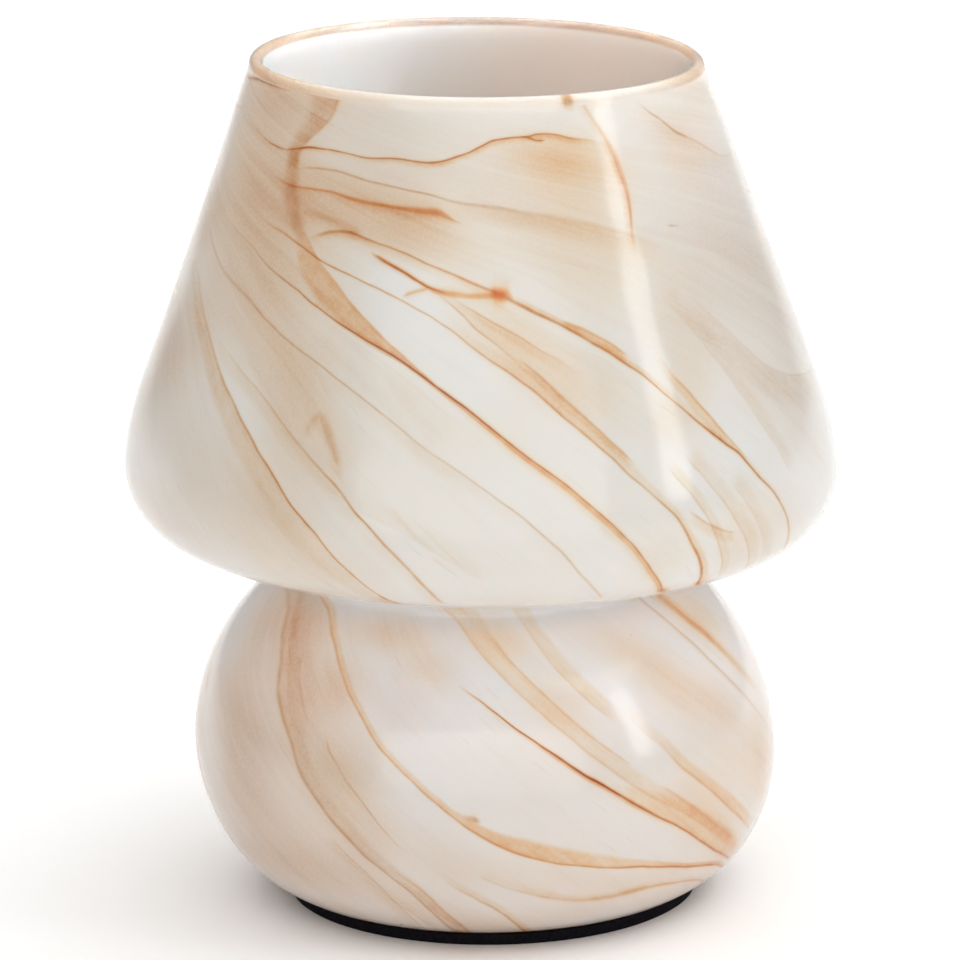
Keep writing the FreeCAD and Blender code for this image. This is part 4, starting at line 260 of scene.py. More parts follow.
    dict(p=[(-19.6, 28), (-15.4, 23.4), (-12.4, 19.4), (-9.4, 13.6), (-6.6, 8.4), (-5.4, 4)], w=0.36, c=(0.32, 0.18), b=(-2.6, 0.18, 0.08), s=0.3, k=((0, 0, 0, 1), (0.3, 1, 1, 1), (1, 1, 1, 1.4))),
    dict(p=[(-32, 35), (-28, 29.4), (-24, 23.4), (-20.6, 17), (-18, 10), (-16.6, 4)], w=0.3, c=(0.16, 0.12), b=(-3.4, 0.1, 0.07), s=0.4, k=ENDS),
    dict(p=[(-27, 24), (-21, 17.4), (-16.4, 11), (-13, 4)], w=0.3, c=(0.12, 0.12), b=(2.4, 0.12, 0.06), s=0.4, k=((0, 0, 0, 1), (0.3, 1, 1, 1), (1, 1, 1, 1.4))),
    dict(p=[(-2, 27), (3, 23.4), (8, 21), (14, 18.6)], w=0.3, c=(0.12, 0.1), b=(3.0, 0.12, 0.04), s=0.5, k=ENDS),
    # the far side, in the same hand
    dict(p=[(96, 232), (104, 229.5), (112, 229), (121, 230.6), (129, 229), (137, 225.2), (146, 222.6), (156, 222.4), (166, 224.6), (176, 224.8), (186, 222.2), (196, 221.6)],
         w=0.26, c=(1.1, 0.7), b=(-1.5, 0.3, 0.05), s=0.6, k=((0, 0, 0, 1), (0.15, 0.8, 0.8, 1), (0.4, 1, 1.3, 1.1), (0.6, 0.7, 0.8, 1), (0.8, 1.2, 1.4, 1.2), (1, 0, 0, 0.8))),
    dict(p=[(80, 205), (88, 202.4), (97, 198.8), (106, 193.4), (114, 187), (121, 179.4), (127, 171.2), (133, 161.6), (138.4, 151), (143, 140.4), (147, 128.4), (150, 117), (152.6, 108)],
         w=0.34, c=(1.4, 0.9), b=(2.2, 0.4, 0.06), s=0.4, k=((0, 0, 0, 1), (0.12, 0.5, 0.4, 1), (0.3, 1, 0.7, 1), (0.5, 1.2, 1, 1.2), (0.62, 0.8, 0.8, 1.8), (0.8, 0.65, 0.6, 2), (1, 0.6, 0.5, 1.9))),
    dict(p=[(118, 241), (119.4, 236), (120.6, 229), (123.4, 221.4), (127.4, 214), (131, 206.4), (134, 199.6), (139, 192), (145, 184.6), (152, 176), (158.4, 167), (164, 157)],
         w=0.4, c=(0.5, 0.22), b=(-7.0, 0.62, 0.26), s=0.25, k=((0, 0.8, 1, 1, 1), (0.2, 1, 1.1, 1, 0.9), (0.4, 0.9, 0.9, 0.8, 0.6), (0.55, 0.7, 0.8, 0.8, 0.8), (0.75, 0.9, 0.9, 0.8, 0.7), (1, 0, 0, 0.5, 0.2))),
    dict(p=[(100, 178), (107, 171), (114, 162.4), (120, 153), (125.4, 143), (130, 132.6), (133.4, 122), (136.6, 109)], w=0.26, c=(0.35, 0.4), b=(-3.4, 0.1, 0.06), s=0.5, k=ENDS),
    dict(p=[(150, 212), (158, 210.4), (167, 207), (176, 201.4), (184, 194.4), (191, 186), (197, 176.6), (202.4, 166), (207.4, 154), (211.4, 142), (214.6, 130), (217, 119), (219, 109)],
         w=0.3, c=(1.1, 0.7), b=(-5.4, 0.36, 0.14), s=0.3, k=((0, 0, 0, 1), (0.15, 0.8, 0.6, 1), (0.4, 1, 1, 1), (0.6, 1.2, 1, 1), (0.8, 1.1, 0.7, 1.3), (1, 0.8, 0.5, 1.2))),
    dict(p=[(171, 197), (178, 188), (184.4, 178), (190, 166.6), (194.6, 154.4), (198.6, 141.6), (201.6, 129), (204.6, 115), (206, 109)], w=0.3, c=(0.45, 0.25), b=(4.0, 0.3, 0.05), s=0.3, k=ENDS),
    dict(p=[(160, 184), (167, 174), (173, 163), (178.6, 150), (183, 137), (186.6, 124), (190, 109)], w=0.9, c=(0.8, 0.16), b=(1.6, 0.2, 0.04), k=((0, 0, 0, 0.6), (0.2, 0.8, 0.8, 1), (0.6, 1, 1, 1), (0.85, 0.8, 0.6, 1.1), (1, 0.7, 0.4, 1))),
    dict(p=[(206, 234), (214, 232.6), (222, 229.2), (231, 228), (240, 229.6), (248, 231.4), (257, 230), (266, 227.4), (276, 227), (284, 228)],
         w=0.26, c=(0.9, 0.6), b=(-1.8, 0.22, 0.04), s=0.5, k=((0, 0, 0, 1), (0.2, 1, 1, 1), (0.5, 0.8, 0.6, 1), (0.7, 1.2, 1.4, 1.2), (1, 0, 0, 1))),
    dict(p=[(196, 213), (206, 211), (216, 206.6), (226, 200.4), (235, 192.6), (243, 183.4), (250, 172.6), (256, 161), (261, 148.6), (265.4, 135), (268.6, 122), (271, 109)],
         w=0.3, c=(0.9, 0.6), b=(3.2, 0.28, 0.08), s=0.35, k=((0, 0, 0, 1), (0.15, 0.7, 0.3, 1), (0.4, 1.1, 0.8, 1), (0.65, 0.9, 1, 1.2), (0.85, 1.2, 1.2, 1.4), (1, 1, 1, 1.3))),
    dict(p=[(228, 219), (238, 215.4), (248, 209.6), (257, 202), (265, 193), (272, 182.4), (278, 171)], w=0.3, c=(0.4, 0.28), b=(-5.0, 0.24, 0.12), s=0.35, k=ENDS),
    dict(p=[(216, 176), (224, 166), (231, 154.6), (236.6, 142.4), (241, 130), (244.6, 118), (247, 109)], w=0.28, c=(0.5, 0.34), b=(-5.0, 0.2, 0.1), s=0.35, k=ENDS),
    dict(p=[(247, 241), (249, 235), (252.4, 229), (256.4, 222), (258, 214), (257, 206), (257.6, 199)], w=0.4, c=(0.4, 0.22), b=(-5.0, 0.45, 0.24), s=0.3, k=((0, 0.8, 1, 1), (0.5, 1, 1, 1), (0.8, 0.5, 0.6, 0.7), (1, 0, 0, 0.5))),
    dict(p=[(84, 188), (90, 181), (95.6, 172.4), (100, 163), (104, 152), (107, 140), (109.4, 127), (111.4, 114), (112.4, 108)], w=0.28, c=(0.6, 0.45), b=(3.0, 0.2, 0.08), s=0.4, k=ENDS),
    dict(p=[(80, 44), (84, 40.4), (89, 36.6), (95, 33), (102, 30), (110, 27.4), (118, 24), (125, 19.4), (131, 13), (135, 6)],
         w=0.36, c=(0.6, 0.28), b=(4.0, 0.5, 0.07), s=0.25, k=((0, 0.2, 0.3, 1), (0.3, 1, 1, 1), (0.7, 1.1, 0.8, 1.2), (1, 0.8, 0.8, 1.6))),
    dict(p=[(86, 92), (91, 85), (96.6, 77.4), (102.4, 69.4), (108.6, 61), (115, 52.4), (121.4, 44), (128, 36), (135, 28.4), (142, 20.6), (147, 13), (150.4, 5)],
         w=0.3, c=(1.4, 0.9), b=(6.6, 0.5, 0.08), s=0.25, k=((0, 0.2, 0, 1), (0.15, 0.8, 0.1, 1, 0.3), (0.4, 1.1, 0.4, 1.3, 0.5), (0.6, 0.8, 1, 1.4, 0.9), (0.85, 0.7, 1, 1.4, 1), (1, 0.8, 1, 1.8, 0.8))),
    dict(p=[(104, 96), (109, 88.4), (114.4, 80), (120.4, 71), (127, 61.6), (134, 52.4), (141.4, 43.4), (149, 34.6), (156, 26), (162, 16), (166, 5)],
         w=0.34, c=(0.4, 0.2), b=(5.4, 0.45, 0.1), s=0.22, k=((0, 0.4, 0.6, 1), (0.3, 1, 1, 1), (0.7, 0.9, 0.8, 1.2), (1, 0.9, 0.8, 1.6))),
    dict(p=[(131, 95), (136, 87.6), (142, 79), (148.6, 70), (155.4, 61), (162.6, 52), (170, 43), (177.4, 33.6), (184, 23.6), (189, 13), (192, 4)],
         w=0.4, c=(0.5, 0.34), b=(-5.4, 0.32, 0.2), s=0.3, k=((0, 0.2, 0.3, 1), (0.25, 0.9, 1, 1.2), (0.5, 1.1, 1, 1), (0.8, 0.8, 0.7, 1), (1, 1, 0.8, 1.8))),
    dict(p=[(158, 93), (163.4, 85), (169.6, 76), (176.4, 66.4), (183.6, 57), (191, 47.6), (198.6, 38), (206, 28.4), (212, 18), (216, 6)], w=0.28, c=(0.8, 0.55), b=(2.6, 0.25, 0.05), s=0.4, k=ENDS),
    dict(p=[(180, 95), (186, 87), (192.6, 78), (199.6, 69), (207, 60.6), (215, 53.6), (224, 48.6), (234, 45.6), (244, 43), (253, 38.4), (261, 32), (268, 24)],
         w=0.34, c=(0.8, 0.3), b=(4.2, 0.5, 0.07), s=0.25, k=((0, 0.3, 0.5, 1, 0.4), (0.3, 0.8, 0.8, 1.1, 0.45), (0.5, 1, 1.1, 1.1, 0.95), (0.7, 1, 1, 1.1, 0.8), (0.85, 1.3, 0.9, 1.1, 0.4), (1, 0.4, 0.4, 1.4, 0.3))),
    dict(p=[(206, 92), (212, 84), (218.6, 75.6), (226, 67.4), (234, 60.4), (242, 54.6), (250.6, 48.4), (258.6, 41), (266, 32), (272, 22), (276, 11)], w=0.34, c=(0.8, 0.55), b=(-4.0, 0.26, 0.14), s=0.3, k=ENDS),
    dict(p=[(232, 95), (238, 87), (244.6, 78.4), (252, 70), (259.6, 61.6), (267, 52.4), (274, 42.6), (280, 32), (285, 20), (288, 8)], w=0.45, c=(0.5, 0.32), b=(5.6, 0.38, 0.18), s=0.3, k=((0, 0.3, 0.3, 1), (0.3, 1, 1, 1.2), (0.6, 1.1, 1, 1.1), (1, 0.8, 0.8, 1.8))),
    dict(p=[(256, 93), (261.4, 85.4), (267.4, 77), (274, 68.4), (281, 59)], w=0.36, c=(0.35, 0.22), b=(3.4, 0.2, 0.1), s=0.4, k=ENDS),
    dict(p=[(196, 23), (204, 20.6), (214, 18.4), (224, 17.6), (234, 15.4), (243, 11.4), (250, 6)], w=0.6, c=(0.5, 0.2), b=(1.8, 0.2, 0.05), s=0.5, k=ENDS),
]

# Clouds of colour in the white: (degrees, height, half width in degrees, half height in mm, lean in
# degrees of the ellipse, amber, brown). A minus takes colour out again.
CLOUDS = [
    (-52, 238, 17, 9, 0, 0.30, 0.34), (-74, 232, 14, 12, 0, 0.18, 0.24), (-56, 228, 17, 12, -6, 0.32, 0.30),
    # the grey-brown clouds at 52 to 74 degrees on the right of the shade are partly the glass's grey mottling and
    # partly painted shade that darkens that side
    (0, 219, 20, 11, 0, 0.11, 0.10), (4, 150, 24, 14, -40, 0.08, 0.03), (70, 190, 16, 36, 0, 0.03, 0.13),
    (64, 130, 14, 14, 0, 0.02, 0.08), (56, 196, 15, 26, -8, 0.07, 0.24), (74, 172, 12, 28, 0, 0.04, 0.22), (52, 231, 10, 8, 0, 0.03, 0.08), (66, 222, 10, 12, 0, 0.02, 0.08), (-80, 150, 15, 26, 0, 0.05, 0.22), (44, 214, 12, 20, 0, 0.03, 0.06), (-62, 212, 14, 13, -8, 0.30, 0.30), (-48, 206, 14, 12, -14, 0.42, 0.32),
    (-36, 213, 14, 11, -8, 0.36, 0.26), (-24, 208, 14, 9, -10, 0.36, 0.20), (-14, 206, 9, 7, -16, 0.30, 0.16),
    (-56, 194, 16, 10, -22, 0.26, 0.28), (-40, 190, 14, 8, -24, 0.34, 0.24), (-28, 192, 7, 6, -30, 0.10, 0.06),
    (-44, 176, 12, 12, -34, 0.36, 0.24), (-34, 166, 8, 12, -40, 0.26, 0.18), (-60, 180, 12, 9, -34, 0.16, 0.20),
    (-66, 170, 10, 12, -36, 0.22, 0.26), (-30, 150, 10, 14, -46, 0.18, 0.14), (-52, 140, 16, 14, -40, 0.12, 0.16),
    (-34, 124, 12, 12, -50, 0.18, 0.14), (-62, 118, 14, 10, 0, 0.06, 0.14), (-20, 119, 8, 10, -50, 0.10, 0.06),
    (-18, 223, 10, 10, 0, 0.06, 0.10), (-28, 232, 10, 7, 0, 0.12, 0.16), (-10, 234, 12, 6, 0, 0.02, 0.05),
    (18, 224, 11, 6.5, -6, 0.48, 0.04), (24, 216, 12, 9, -6, 0.26, 0.05), (12, 206, 14, 9, -14, 0.16, 0.04),
    (26, 199, 13, 9, -22, 0.20, 0.04), (20, 190, 12, 8, -28, 0.12, 0.03), (4, 181, 9, 9, -38, 0.22, 0.05),
    (12, 170, 9, 8, -40, 0.24, 0.05), (20, 166, 8, 10, -44, 0.14, 0.05), (-4, 200, 9, 6, -14, 0.14, 0.03),
    (40, 178, 8, 14, -44, 0.10, 0.12), (62, 152, 14, 10, -30, 0.05, 0.10), (70, 234, 14, 7, 0, 0.14, 0.10),
    (54, 222, 9, 7, -20, 0.14, 0.06), (66, 205, 12, 12, -10, 0.0, 0.03), (46, 120, 8, 12, -50, 0.14, 0.08),
    (30, 121, 5, 10, -50, 0.10, 0.04), (58, 118, 10, 10, -40, 0.06, 0.10), (36, 160, 5, 12, -50, 0.16, 0.04),
    (-15, 187, 7, 5, -30, -0.12, -0.08), (-4, 168, 7, 8, -42, -0.12, -0.08), (6, 140, 14, 16, -40, -0.08, -0.06),
    (-2, 118, 10, 12, 0, -0.08, -0.06), (-22, 131, 5, 6, -50, -0.06, -0.04),
    # base
    (-68, 84, 12, 9, -20, 0.18, 0.28), (-56, 89, 13, 9, -10, 0.22, 0.30), (-47, 80, 10, 12, -50, 0.22, 0.26),
    (-62, 66, 12, 14, -50, 0.30, 0.38), (-54, 52, 10, 12, -50, 0.24, 0.36), (-40, 64, 9, 16, -56, 0.22, 0.22),
    (-34, 76, 7, 9, -50, 0.26, 0.22), (-30, 52, 8, 13, -56, 0.40, 0.26), (-24, 36, 8, 12, -50, 0.26, 0.18),
    (-46, 36, 14, 10, -30, 0.22, 0.28), (-60, 34, 12, 12, -30, 0.16, 0.26), (-36, 22, 14, 9, 0, 0.24, 0.28),
    (-54, 20, 12, 10, 0, 0.20, 0.30), (-14, 14, 12, 8, -20, 0.22, 0.16), (-24, 90, 9, 6, 0, 0.22, 0.20), (-31, 89, 14, 6, 0, 0.10, 0.06), (4, 88, 16, 5, -10, 0.08, 0.05),
    (-13, 83, 8, 6, -30, 0.22, 0.12), (-18, 74, 9, 9, -50, 0.04, 0.16), (-8, 30, 10, 9, -40, 0.14, 0.10),
    (10, 27, 16, 6, -8, 0.12, 0.06), (34, 21, 16, 5, 0, 0.14, 0.06), (4, 90, 8, 6, -40, 0.30, 0.06),
    (16, 74, 8, 8, -50, 0.20, 0.06), (36, 84, 13, 7, -30, 0.20, 0.14), (46, 72, 11, 8, -40, 0.26, 0.15), (57, 66, 7, 6, -40, 0.16, 0.10),
    (66, 86, 10, 9, -30, 0.34, 0.10), (62, 47, 12, 10, -40, 0.20, 0.08), (73, 46, 9, 12, -40, 0.34, 0.26),
    (46, 40, 9, 10, -46, 0.30, 0.05), (56, 28, 8, 7, -46, 0.24, 0.10), (62, 18, 9, 6, -10, 0.20, 0.22),
    (22, 12, 24, 6, 0, 0.10, 0.12), (52, 12, 14, 6, -8, 0.08, 0.20), (0, 8, 14, 5, 0, 0.14, 0.16),
    (-40, 9, 18, 5, 0, 0.16, 0.26), (2, 54, 12, 9, -20, -0.08, -0.06), (22, 36, 14, 6, -20, -0.08, -0.05),
    # far side
    (104, 218, 18, 14, -6, 0.20, 0.10), (124, 210, 14, 14, -10, 0.44, 0.30), (112, 190, 14, 12, -20, 0.26, 0.16),
    (142, 200, 14, 10, -16, 0.34, 0.24), (150, 178, 12, 14, -34, 0.26, 0.20), (120, 150, 10, 16, -40, 0.16, 0.12),
    (92, 160, 12, 14, -30, 0.06, 0.12), (170, 214, 14, 8, -6, 0.22, 0.16), (186, 206, 14, 9, -16, 0.16, 0.10),
    (176, 176, 10, 14, -40, 0.22, 0.10), (196, 156, 10, 14, -44, 0.28, 0.14), (160, 140, 14, 14, -40, 0.10, 0.10),
    (214, 150, 10, 18, -44, 0.32, 0.20), (220, 196, 16, 12, -20, 0.18, 0.16), (240, 214, 14, 12, -14, 0.34, 0.26),
    (256, 222, 12, 14, 0, 0.46, 0.34), (250, 196, 12, 12, -30, 0.24, 0.20), (264, 176, 12, 14, -34, 0.26, 0.22),
    (240, 160, 12, 14, -40, 0.20, 0.18), (262, 140, 14, 16, -40, 0.16, 0.18), (280, 200, 12, 14, -14, 0.24, 0.26),
    (284, 160, 12, 16, -30, 0.12, 0.20), (180, 124, 16, 14, -40, 0.14, 0.10), (140, 122, 12, 14, -40, 0.20, 0.10),
    (96, 70, 12, 14, -40, 0.26, 0.14), (116, 60, 10, 14, -46, 0.34, 0.14), (132, 74, 12, 12, -40, 0.24, 0.12),
    (150, 60, 10, 14, -46, 0.30, 0.22), (168, 56, 12, 12, -40, 0.20, 0.16), (186, 70, 10, 12, -40, 0.24, 0.14),
    (204, 50, 12, 12, -36, 0.26, 0.16), (222, 76, 12, 10, -30, 0.22, 0.16), (240, 60, 12, 12, -34, 0.34, 0.26),
    (262, 66, 12, 12, -36, 0.36, 0.32), (276, 46, 12, 14, -40, 0.28, 0.32), (126, 26, 18, 8, -10, 0.26, 0.18),
    (166, 24, 18, 8, -10, 0.22, 0.20), (210, 20, 20, 8, -8, 0.20, 0.20), (252, 20, 18, 9, -8, 0.24, 0.30),
    (100, 30, 14, 10, -10, 0.20, 0.14), (284, 20, 14, 10, 0, 0.20, 0.30),
]


def wrap(a):
    return (a + 180.0) % 360.0 - 180.0


def curve_through(points, per=7):
    """Catmull-Rom through the points."""
    p = np.array(points, float)
    p = np.vstack([2 * p[0] - p[1], p, 2 * p[-1] - p[-2]])
    t = np.linspace(0, 1, per, endpoint=False)[:, None]
    out = []
    for i in range(1, len(p) - 2):
        a, b, c, d = p[i - 1], p[i], p[i + 1], p[i + 2]
        out.append(0.5 * (2 * b + (c - a) * t + (2 * a - 5 * b + 4 * c - d) * t ** 2 + (3 * b - a - 3 * c + d) * t ** 3))
    return np.vstack(out + [p[-2][None]])


def line_field(theta, arc, radius, points, to_arc, reach):
    """Signed distance in mm of each skin point to a line (+ on its upper right) and the share of the
    line's length at the nearest place. Points further than reach are left at reach."""
    line = curve_through(points)
    ls = to_arc(line[:, 1])
    middle = (line[:, 0].min() + line[:, 0].max()) / 2
    near = (np.abs(wrap(theta - middle)) * np.radians(1) * radius < np.ptp(line[:, 0]) / 2 * np.radians(1) * radius + reach + 2) \
        & (arc > ls.min() - reach) & (arc < ls.max() + reach)
    idx = np.nonzero(near)[0]
    best = np.full(len(idx), 1e9)
    where = np.zeros(len(idx))
    k = np.radians(1) * radius[idx]
    x = wrap(line[None, :, 0] - theta[idx][:, None]) * k[:, None]
    y = ls[None, :] - arc[idx][:, None]
    mean_r = float(np.interp(line[:, 1].mean(), *R_OF_Z))
    seg = np.hypot(np.diff(line[:, 0]) * np.radians(1) * mean_r, np.diff(ls))
    run = np.concatenate([[0], np.cumsum(seg)])
    run = run / run[-1]
    offset = np.zeros(len(idx))
    past = np.zeros(len(idx))
    last = len(line) - 2
    for i in range(last + 1):
        ax, ay, bx, by = x[:, i], y[:, i], x[:, i + 1], y[:, i + 1]
        ex, ey = bx - ax, by - ay
        length = np.sqrt(np.maximum(ex * ex + ey * ey, 1e-9))
        free = -(ax * ex + ay * ey) / length ** 2
        t = np.clip(free, 0, 1)
        cx, cy = ax + t * ex, ay + t * ey
        d = np.hypot(cx, cy)
        m = d < best - 1e-6
        # beside an end, the distance is from the line drawn straight on
        beyond = np.maximum(-free, 0) * (i == 0) + np.maximum(free - 1, 0) * (i == last)
        s = np.where(ex * -ay - ey * -ax > 0, 1.0, -1.0)
        off = np.where(beyond > 0, np.abs(ex * -ay - ey * -ax) / length, d) * s
        best[m], offset[m], past[m] = d[m], off[m], (beyond * length)[m]
        where[m] = (run[i] + t * (run[i + 1] - run[i]))[m]
    return idx, offset, where, best, past


PROFILE, SKIN, N_OUT = lathe_profile()
LIP_RINGS = 9
_o = np.argsort(PROFILE[:N_OUT, 1])
R_OF_Z = (PROFILE[:N_OUT, 1][_o], PROFILE[:N_OUT, 0][_o])
SEGMENTS = 300


def drill_inlet(me, height=22.0, tilt=25.9, hole=5.2):
    """The hole at the back that the cord's grommet sits in, drilled square to the wall."""
    axis = Vector((0.0, math.cos(math.radians(tilt)), -math.sin(math.radians(tilt))))
    centre = Vector((0.0, float(np.interp(height, *R_OF_Z)), height)) * MM
    bm = bmesh.new()
    bm.from_mesh(me)

    def place(co):
        along = (co - centre).dot(axis)
        return along, co - centre - axis * along

    gone = []
    for f in bm.faces:
        along, out = place(f.calc_center_median())
        if abs(along) < 8 * MM and out.length < (hole + 0.2) * MM:
            gone.append(f)
    bmesh.ops.delete(bm, geom=gone, context="FACES")
    rim = [e for e in bm.edges if e.is_boundary]
    for v in {v for e in rim for v in e.verts}:
        along, out = place(v.co)
        v.co = centre + axis * along + out.normalized() * hole * MM
    bmesh.ops.bridge_loops(bm, edges=rim)
    bmesh.ops.recalc_face_normals(bm, faces=bm.faces[:])
    for f in bm.faces:
        f.smooth = True
    bm.to_mesh(me)
    bm.free()


def make_glass():
    """The glass as one lathed wall, out of true, with the swirl's distances kept on its points."""
    rings = len(PROFILE)
    th = (np.arange(SEGMENTS) / SEGMENTS * 360.0 - 180.0) + 0.37
    theta = np.tile(th, rings)
    r = np.repeat(PROFILE[:, 0], SEGMENTS)
    z = np.repeat(PROFILE[:, 1], SEGMENTS)
    skin = np.repeat(SKIN, SEGMENTS)
    t = np.radians(theta)
    # blown surface: slow waves round it and fainter ones along the draw of the glass
    wave = np.array([noise.noise(Vector((math.cos(a) * 1.3, math.sin(a) * 1.3, h / 46.0))) for a, h in zip(t, z)])
    draw = np.radians(theta + 0.8 * z)
    fine = np.array([noise.noise(Vector((math.cos(a) * 5.0 + 9, math.sin(a) * 5.0, h / 85.0))) for a, h in zip(draw, z)])
    hold = smooth(3.3, 14, z) * (1 - 0.75 * smooth(232, 240, z))
    r = r + hold * (0.32 * wave + 0.10 * fine)
    pts = out_of_true(t, r, z)
    lip = smooth(236.5, 240, z)
    pts[:, 2] += lip * 0.16 * FIT * np.sin(3 * t + 0.7) * 0.6
    pts[:, 2] = np.minimum(pts[:, 2], HEIGHT - 0.03)
    faces = []
    for i in range(rings):
        a, b = i * SEGMENTS, ((i + 1) % rings) * SEGMENTS
        for j in range(SEGMENTS):
            k = (j + 1) % SEGMENTS
            faces.append((a + j, b + j, b + k, a + k))
    me = bpy.data.meshes.new("glass_blown")
    me.from_pydata([tuple(p * MM) for p in pts], [], faces)
    me.update()
    ob = bpy.data.objects.new("glass_blown", me)
    bpy.context.scene.collection.objects.link(ob)
    me.shade_smooth()

    # distances to the lines, on the outside only
    n = N_OUT * SEGMENTS
    po = PROFILE[:N_OUT]
    arc_ring = np.concatenate([[0], np.cumsum(np.hypot(*np.diff(po, axis=0).T))])
    arc = np.repeat(arc_ring, SEGMENTS)
    order = np.argsort(po[:, 1])

    def to_arc(h):
        # heights above the lip or below the foot run straight on
        lo, hi = po[:, 1].min(), po[:, 1].max()
        s = np.interp(h, po[order, 1], arc_ring[order])
        return np.maximum(h - hi, 0) - s + np.minimum(h - lo, 0)

    arc = -arc
    theta_o, r_o = theta[:n], r[:n]
    fields = []
    for k, line in enumerate(LINES):
        w, (a0, b0), (bw, a1, b1), soft = line["w"], line["c"], line["b"], line.get("s", 0.5)
        keys = np.array([tuple(key) + (1.0,) * (5 - len(key)) for key in line["k"]], float)
        close = 3.2 * w * keys[:, 3].max() + 2.5
        reach = max(close, (1.2 + soft) * abs(bw) * keys[:, 4].max() + 1.5)
        idx, d, u, dist, past = line_field(theta_o, arc, r_o, line["p"], to_arc, reach + 4.5)
        limit = np.where(d * np.sign(bw) > 0, reach, close)
        # the distances go on for two points past where the colour has ended
        near = dist < limit + 4.5
        idx, d, u, limit, dist, past = idx[near], d[near], u[near], limit[near], dist[near], past[near]
        fade = (1 - smooth(0.8, 0.98, dist / limit)) * (1 - smooth(0.0, 2.5, past))
        lw = w * np.interp(u, keys[:, 0], keys[:, 3])
        lc = np.interp(u, keys[:, 0], keys[:, 1]) * fade
        lb = np.interp(u, keys[:, 0], keys[:, 2]) * fade
        width = bw * np.interp(u, keys[:, 0], keys[:, 4])
        fields.append((idx, d, lw, width, lc * a0, lc * b0, lb * a1, lb * b1, np.full(len(idx), soft)))
    # lines that don't meet share a layer
    layers = []
    grow = 1
    grid = np.zeros((N_OUT, SEGMENTS), bool)
    for f in sorted(fields, key=lambda f: -len(f[0])):
        mask = grid.copy().ravel()
        mask[f[0]] = True
        mask = mask.reshape(grid.shape)
        for _ in range(grow):
            mask = mask | np.roll(mask, 1, 1) | np.roll(mask, -1, 1)
            mask[1:] |= mask[:-1].copy()
            mask[:-1] |= mask[1:].copy()
        for layer in layers:
            if not (layer["mask"] & mask).any():
                break
        else:
            layer = {"mask": grid.copy(), "v": np.zeros((len(pts), 7), np.float32), "d": np.full(len(pts), 50.0, np.float32)}
            layer["v"][:, 0], layer["v"][:, 1], layer["v"][:, 6] = 1.0, 1.0, 0.5
            layers.append(layer)
        layer["mask"] |= mask
        layer["d"][f[0]] = f[1]
        for c in range(7):
            layer["v"][f[0], c] = f[2 + c]
    for k, layer in enumerate(layers):
        v = layer["v"]
        for name, cols in (("swirl%d_at" % k, (layer["d"], v[:, 0], v[:, 1])),
                           ("swirl%d_line" % k, (v[:, 2], v[:, 3], 0 * v[:, 0])),
                           ("swirl%d_band" % k, (v[:, 4], v[:, 5], v[:, 6]))):
            at = me.attributes.new(name, "FLOAT_VECTOR", "POINT")
            at.data.foreach_set("vector", np.stack(cols, 1).astype(np.float32).ravel())

    # clouds, the skin, and the draw of the glass
    wash = np.zeros((len(pts), 3), np.float32)
    wash[:, 2] = skin
    for ct, cz, wt, hz, lean, a, b in CLOUDS:
        rr = float(np.interp(cz, *R_OF_Z))
        dx = wrap(theta[:n] - ct) * np.radians(1) * r[:n]
        dy = arc - to_arc(np.array([float(cz)]))[0]
        c, s = math.cos(math.radians(lean)), math.sin(math.radians(lean))
        u, v = (dx * c + dy * s) / (wt * math.radians(1) * rr), (-dx * s + dy * c) / hz
        g = np.exp(-(u * u + v * v) ** 1.15) * (0.85 if cz < 97 else 0.70 if cz > 165 and -85 < ct < -20 else 1.0)
        wash[:n, 0] += g * a
        wash[:n, 1] += g * b
    top = wash[:SEGMENTS, :2].copy()
    first_lip = len(PROFILE) - LIP_RINGS
    wash[first_lip * SEGMENTS:, :2] = np.tile(top, (LIP_RINGS, 1))
    side, rear = 0.12 + 0.88 * smooth(42, 96, np.abs(th)), smooth(112, 158, np.abs(th))
    edge = np.stack([0.40 * (side - 0.90 * rear), 0.88 * (side + 0.70 * rear)], 1)[None]
    wash[first_lip * SEGMENTS:, :2] += np.tile(edge, (LIP_RINGS, 1, 1)).reshape(-1, 2)
    # a red knot on the lip, where one of the lines starts
    knot = np.exp(-((th - 22.6) / 1.15) ** 2)[:, None] * np.array([1.1, 1.0])
    for ring, share in [(len(PROFILE) - 1 - k, 1.0 - 0.07 * k) for k in range(LIP_RINGS - 4)] + [(0, 0.3)]:
        wash[ring * SEGMENTS:(ring + 1) * SEGMENTS, :2] += knot * share
    at = me.attributes.new("swirl_wash", "FLOAT_VECTOR", "POINT")
    at.data.foreach_set("vector", wash.ravel())
    zz = np.array([0, 60, 92, 104, 140, 170, 195, 215, 240.0])
    rate = np.array([0.85, 0.85, 0.9, 0.7, 0.62, 0.8, 1.5, 2.8, 4.0])
    turn = np.concatenate([[0], np.cumsum((rate[1:] + rate[:-1]) / 2 * np.diff(zz))])
    psi = np.radians(theta + np.interp(z, zz, turn))
    flow = np.stack([np.cos(psi) * 0.09, np.sin(psi) * 0.09, z * 0.001 * 0.22], 1).astype(np.float32)
    at = me.attributes.new("swirl_flow", "FLOAT_VECTOR", "POINT")
    at.data.foreach_set("vector", flow.ravel())
    drill_inlet(me)
    return ob, len(layers)


# ------------------------------------------------------------------ node helpers

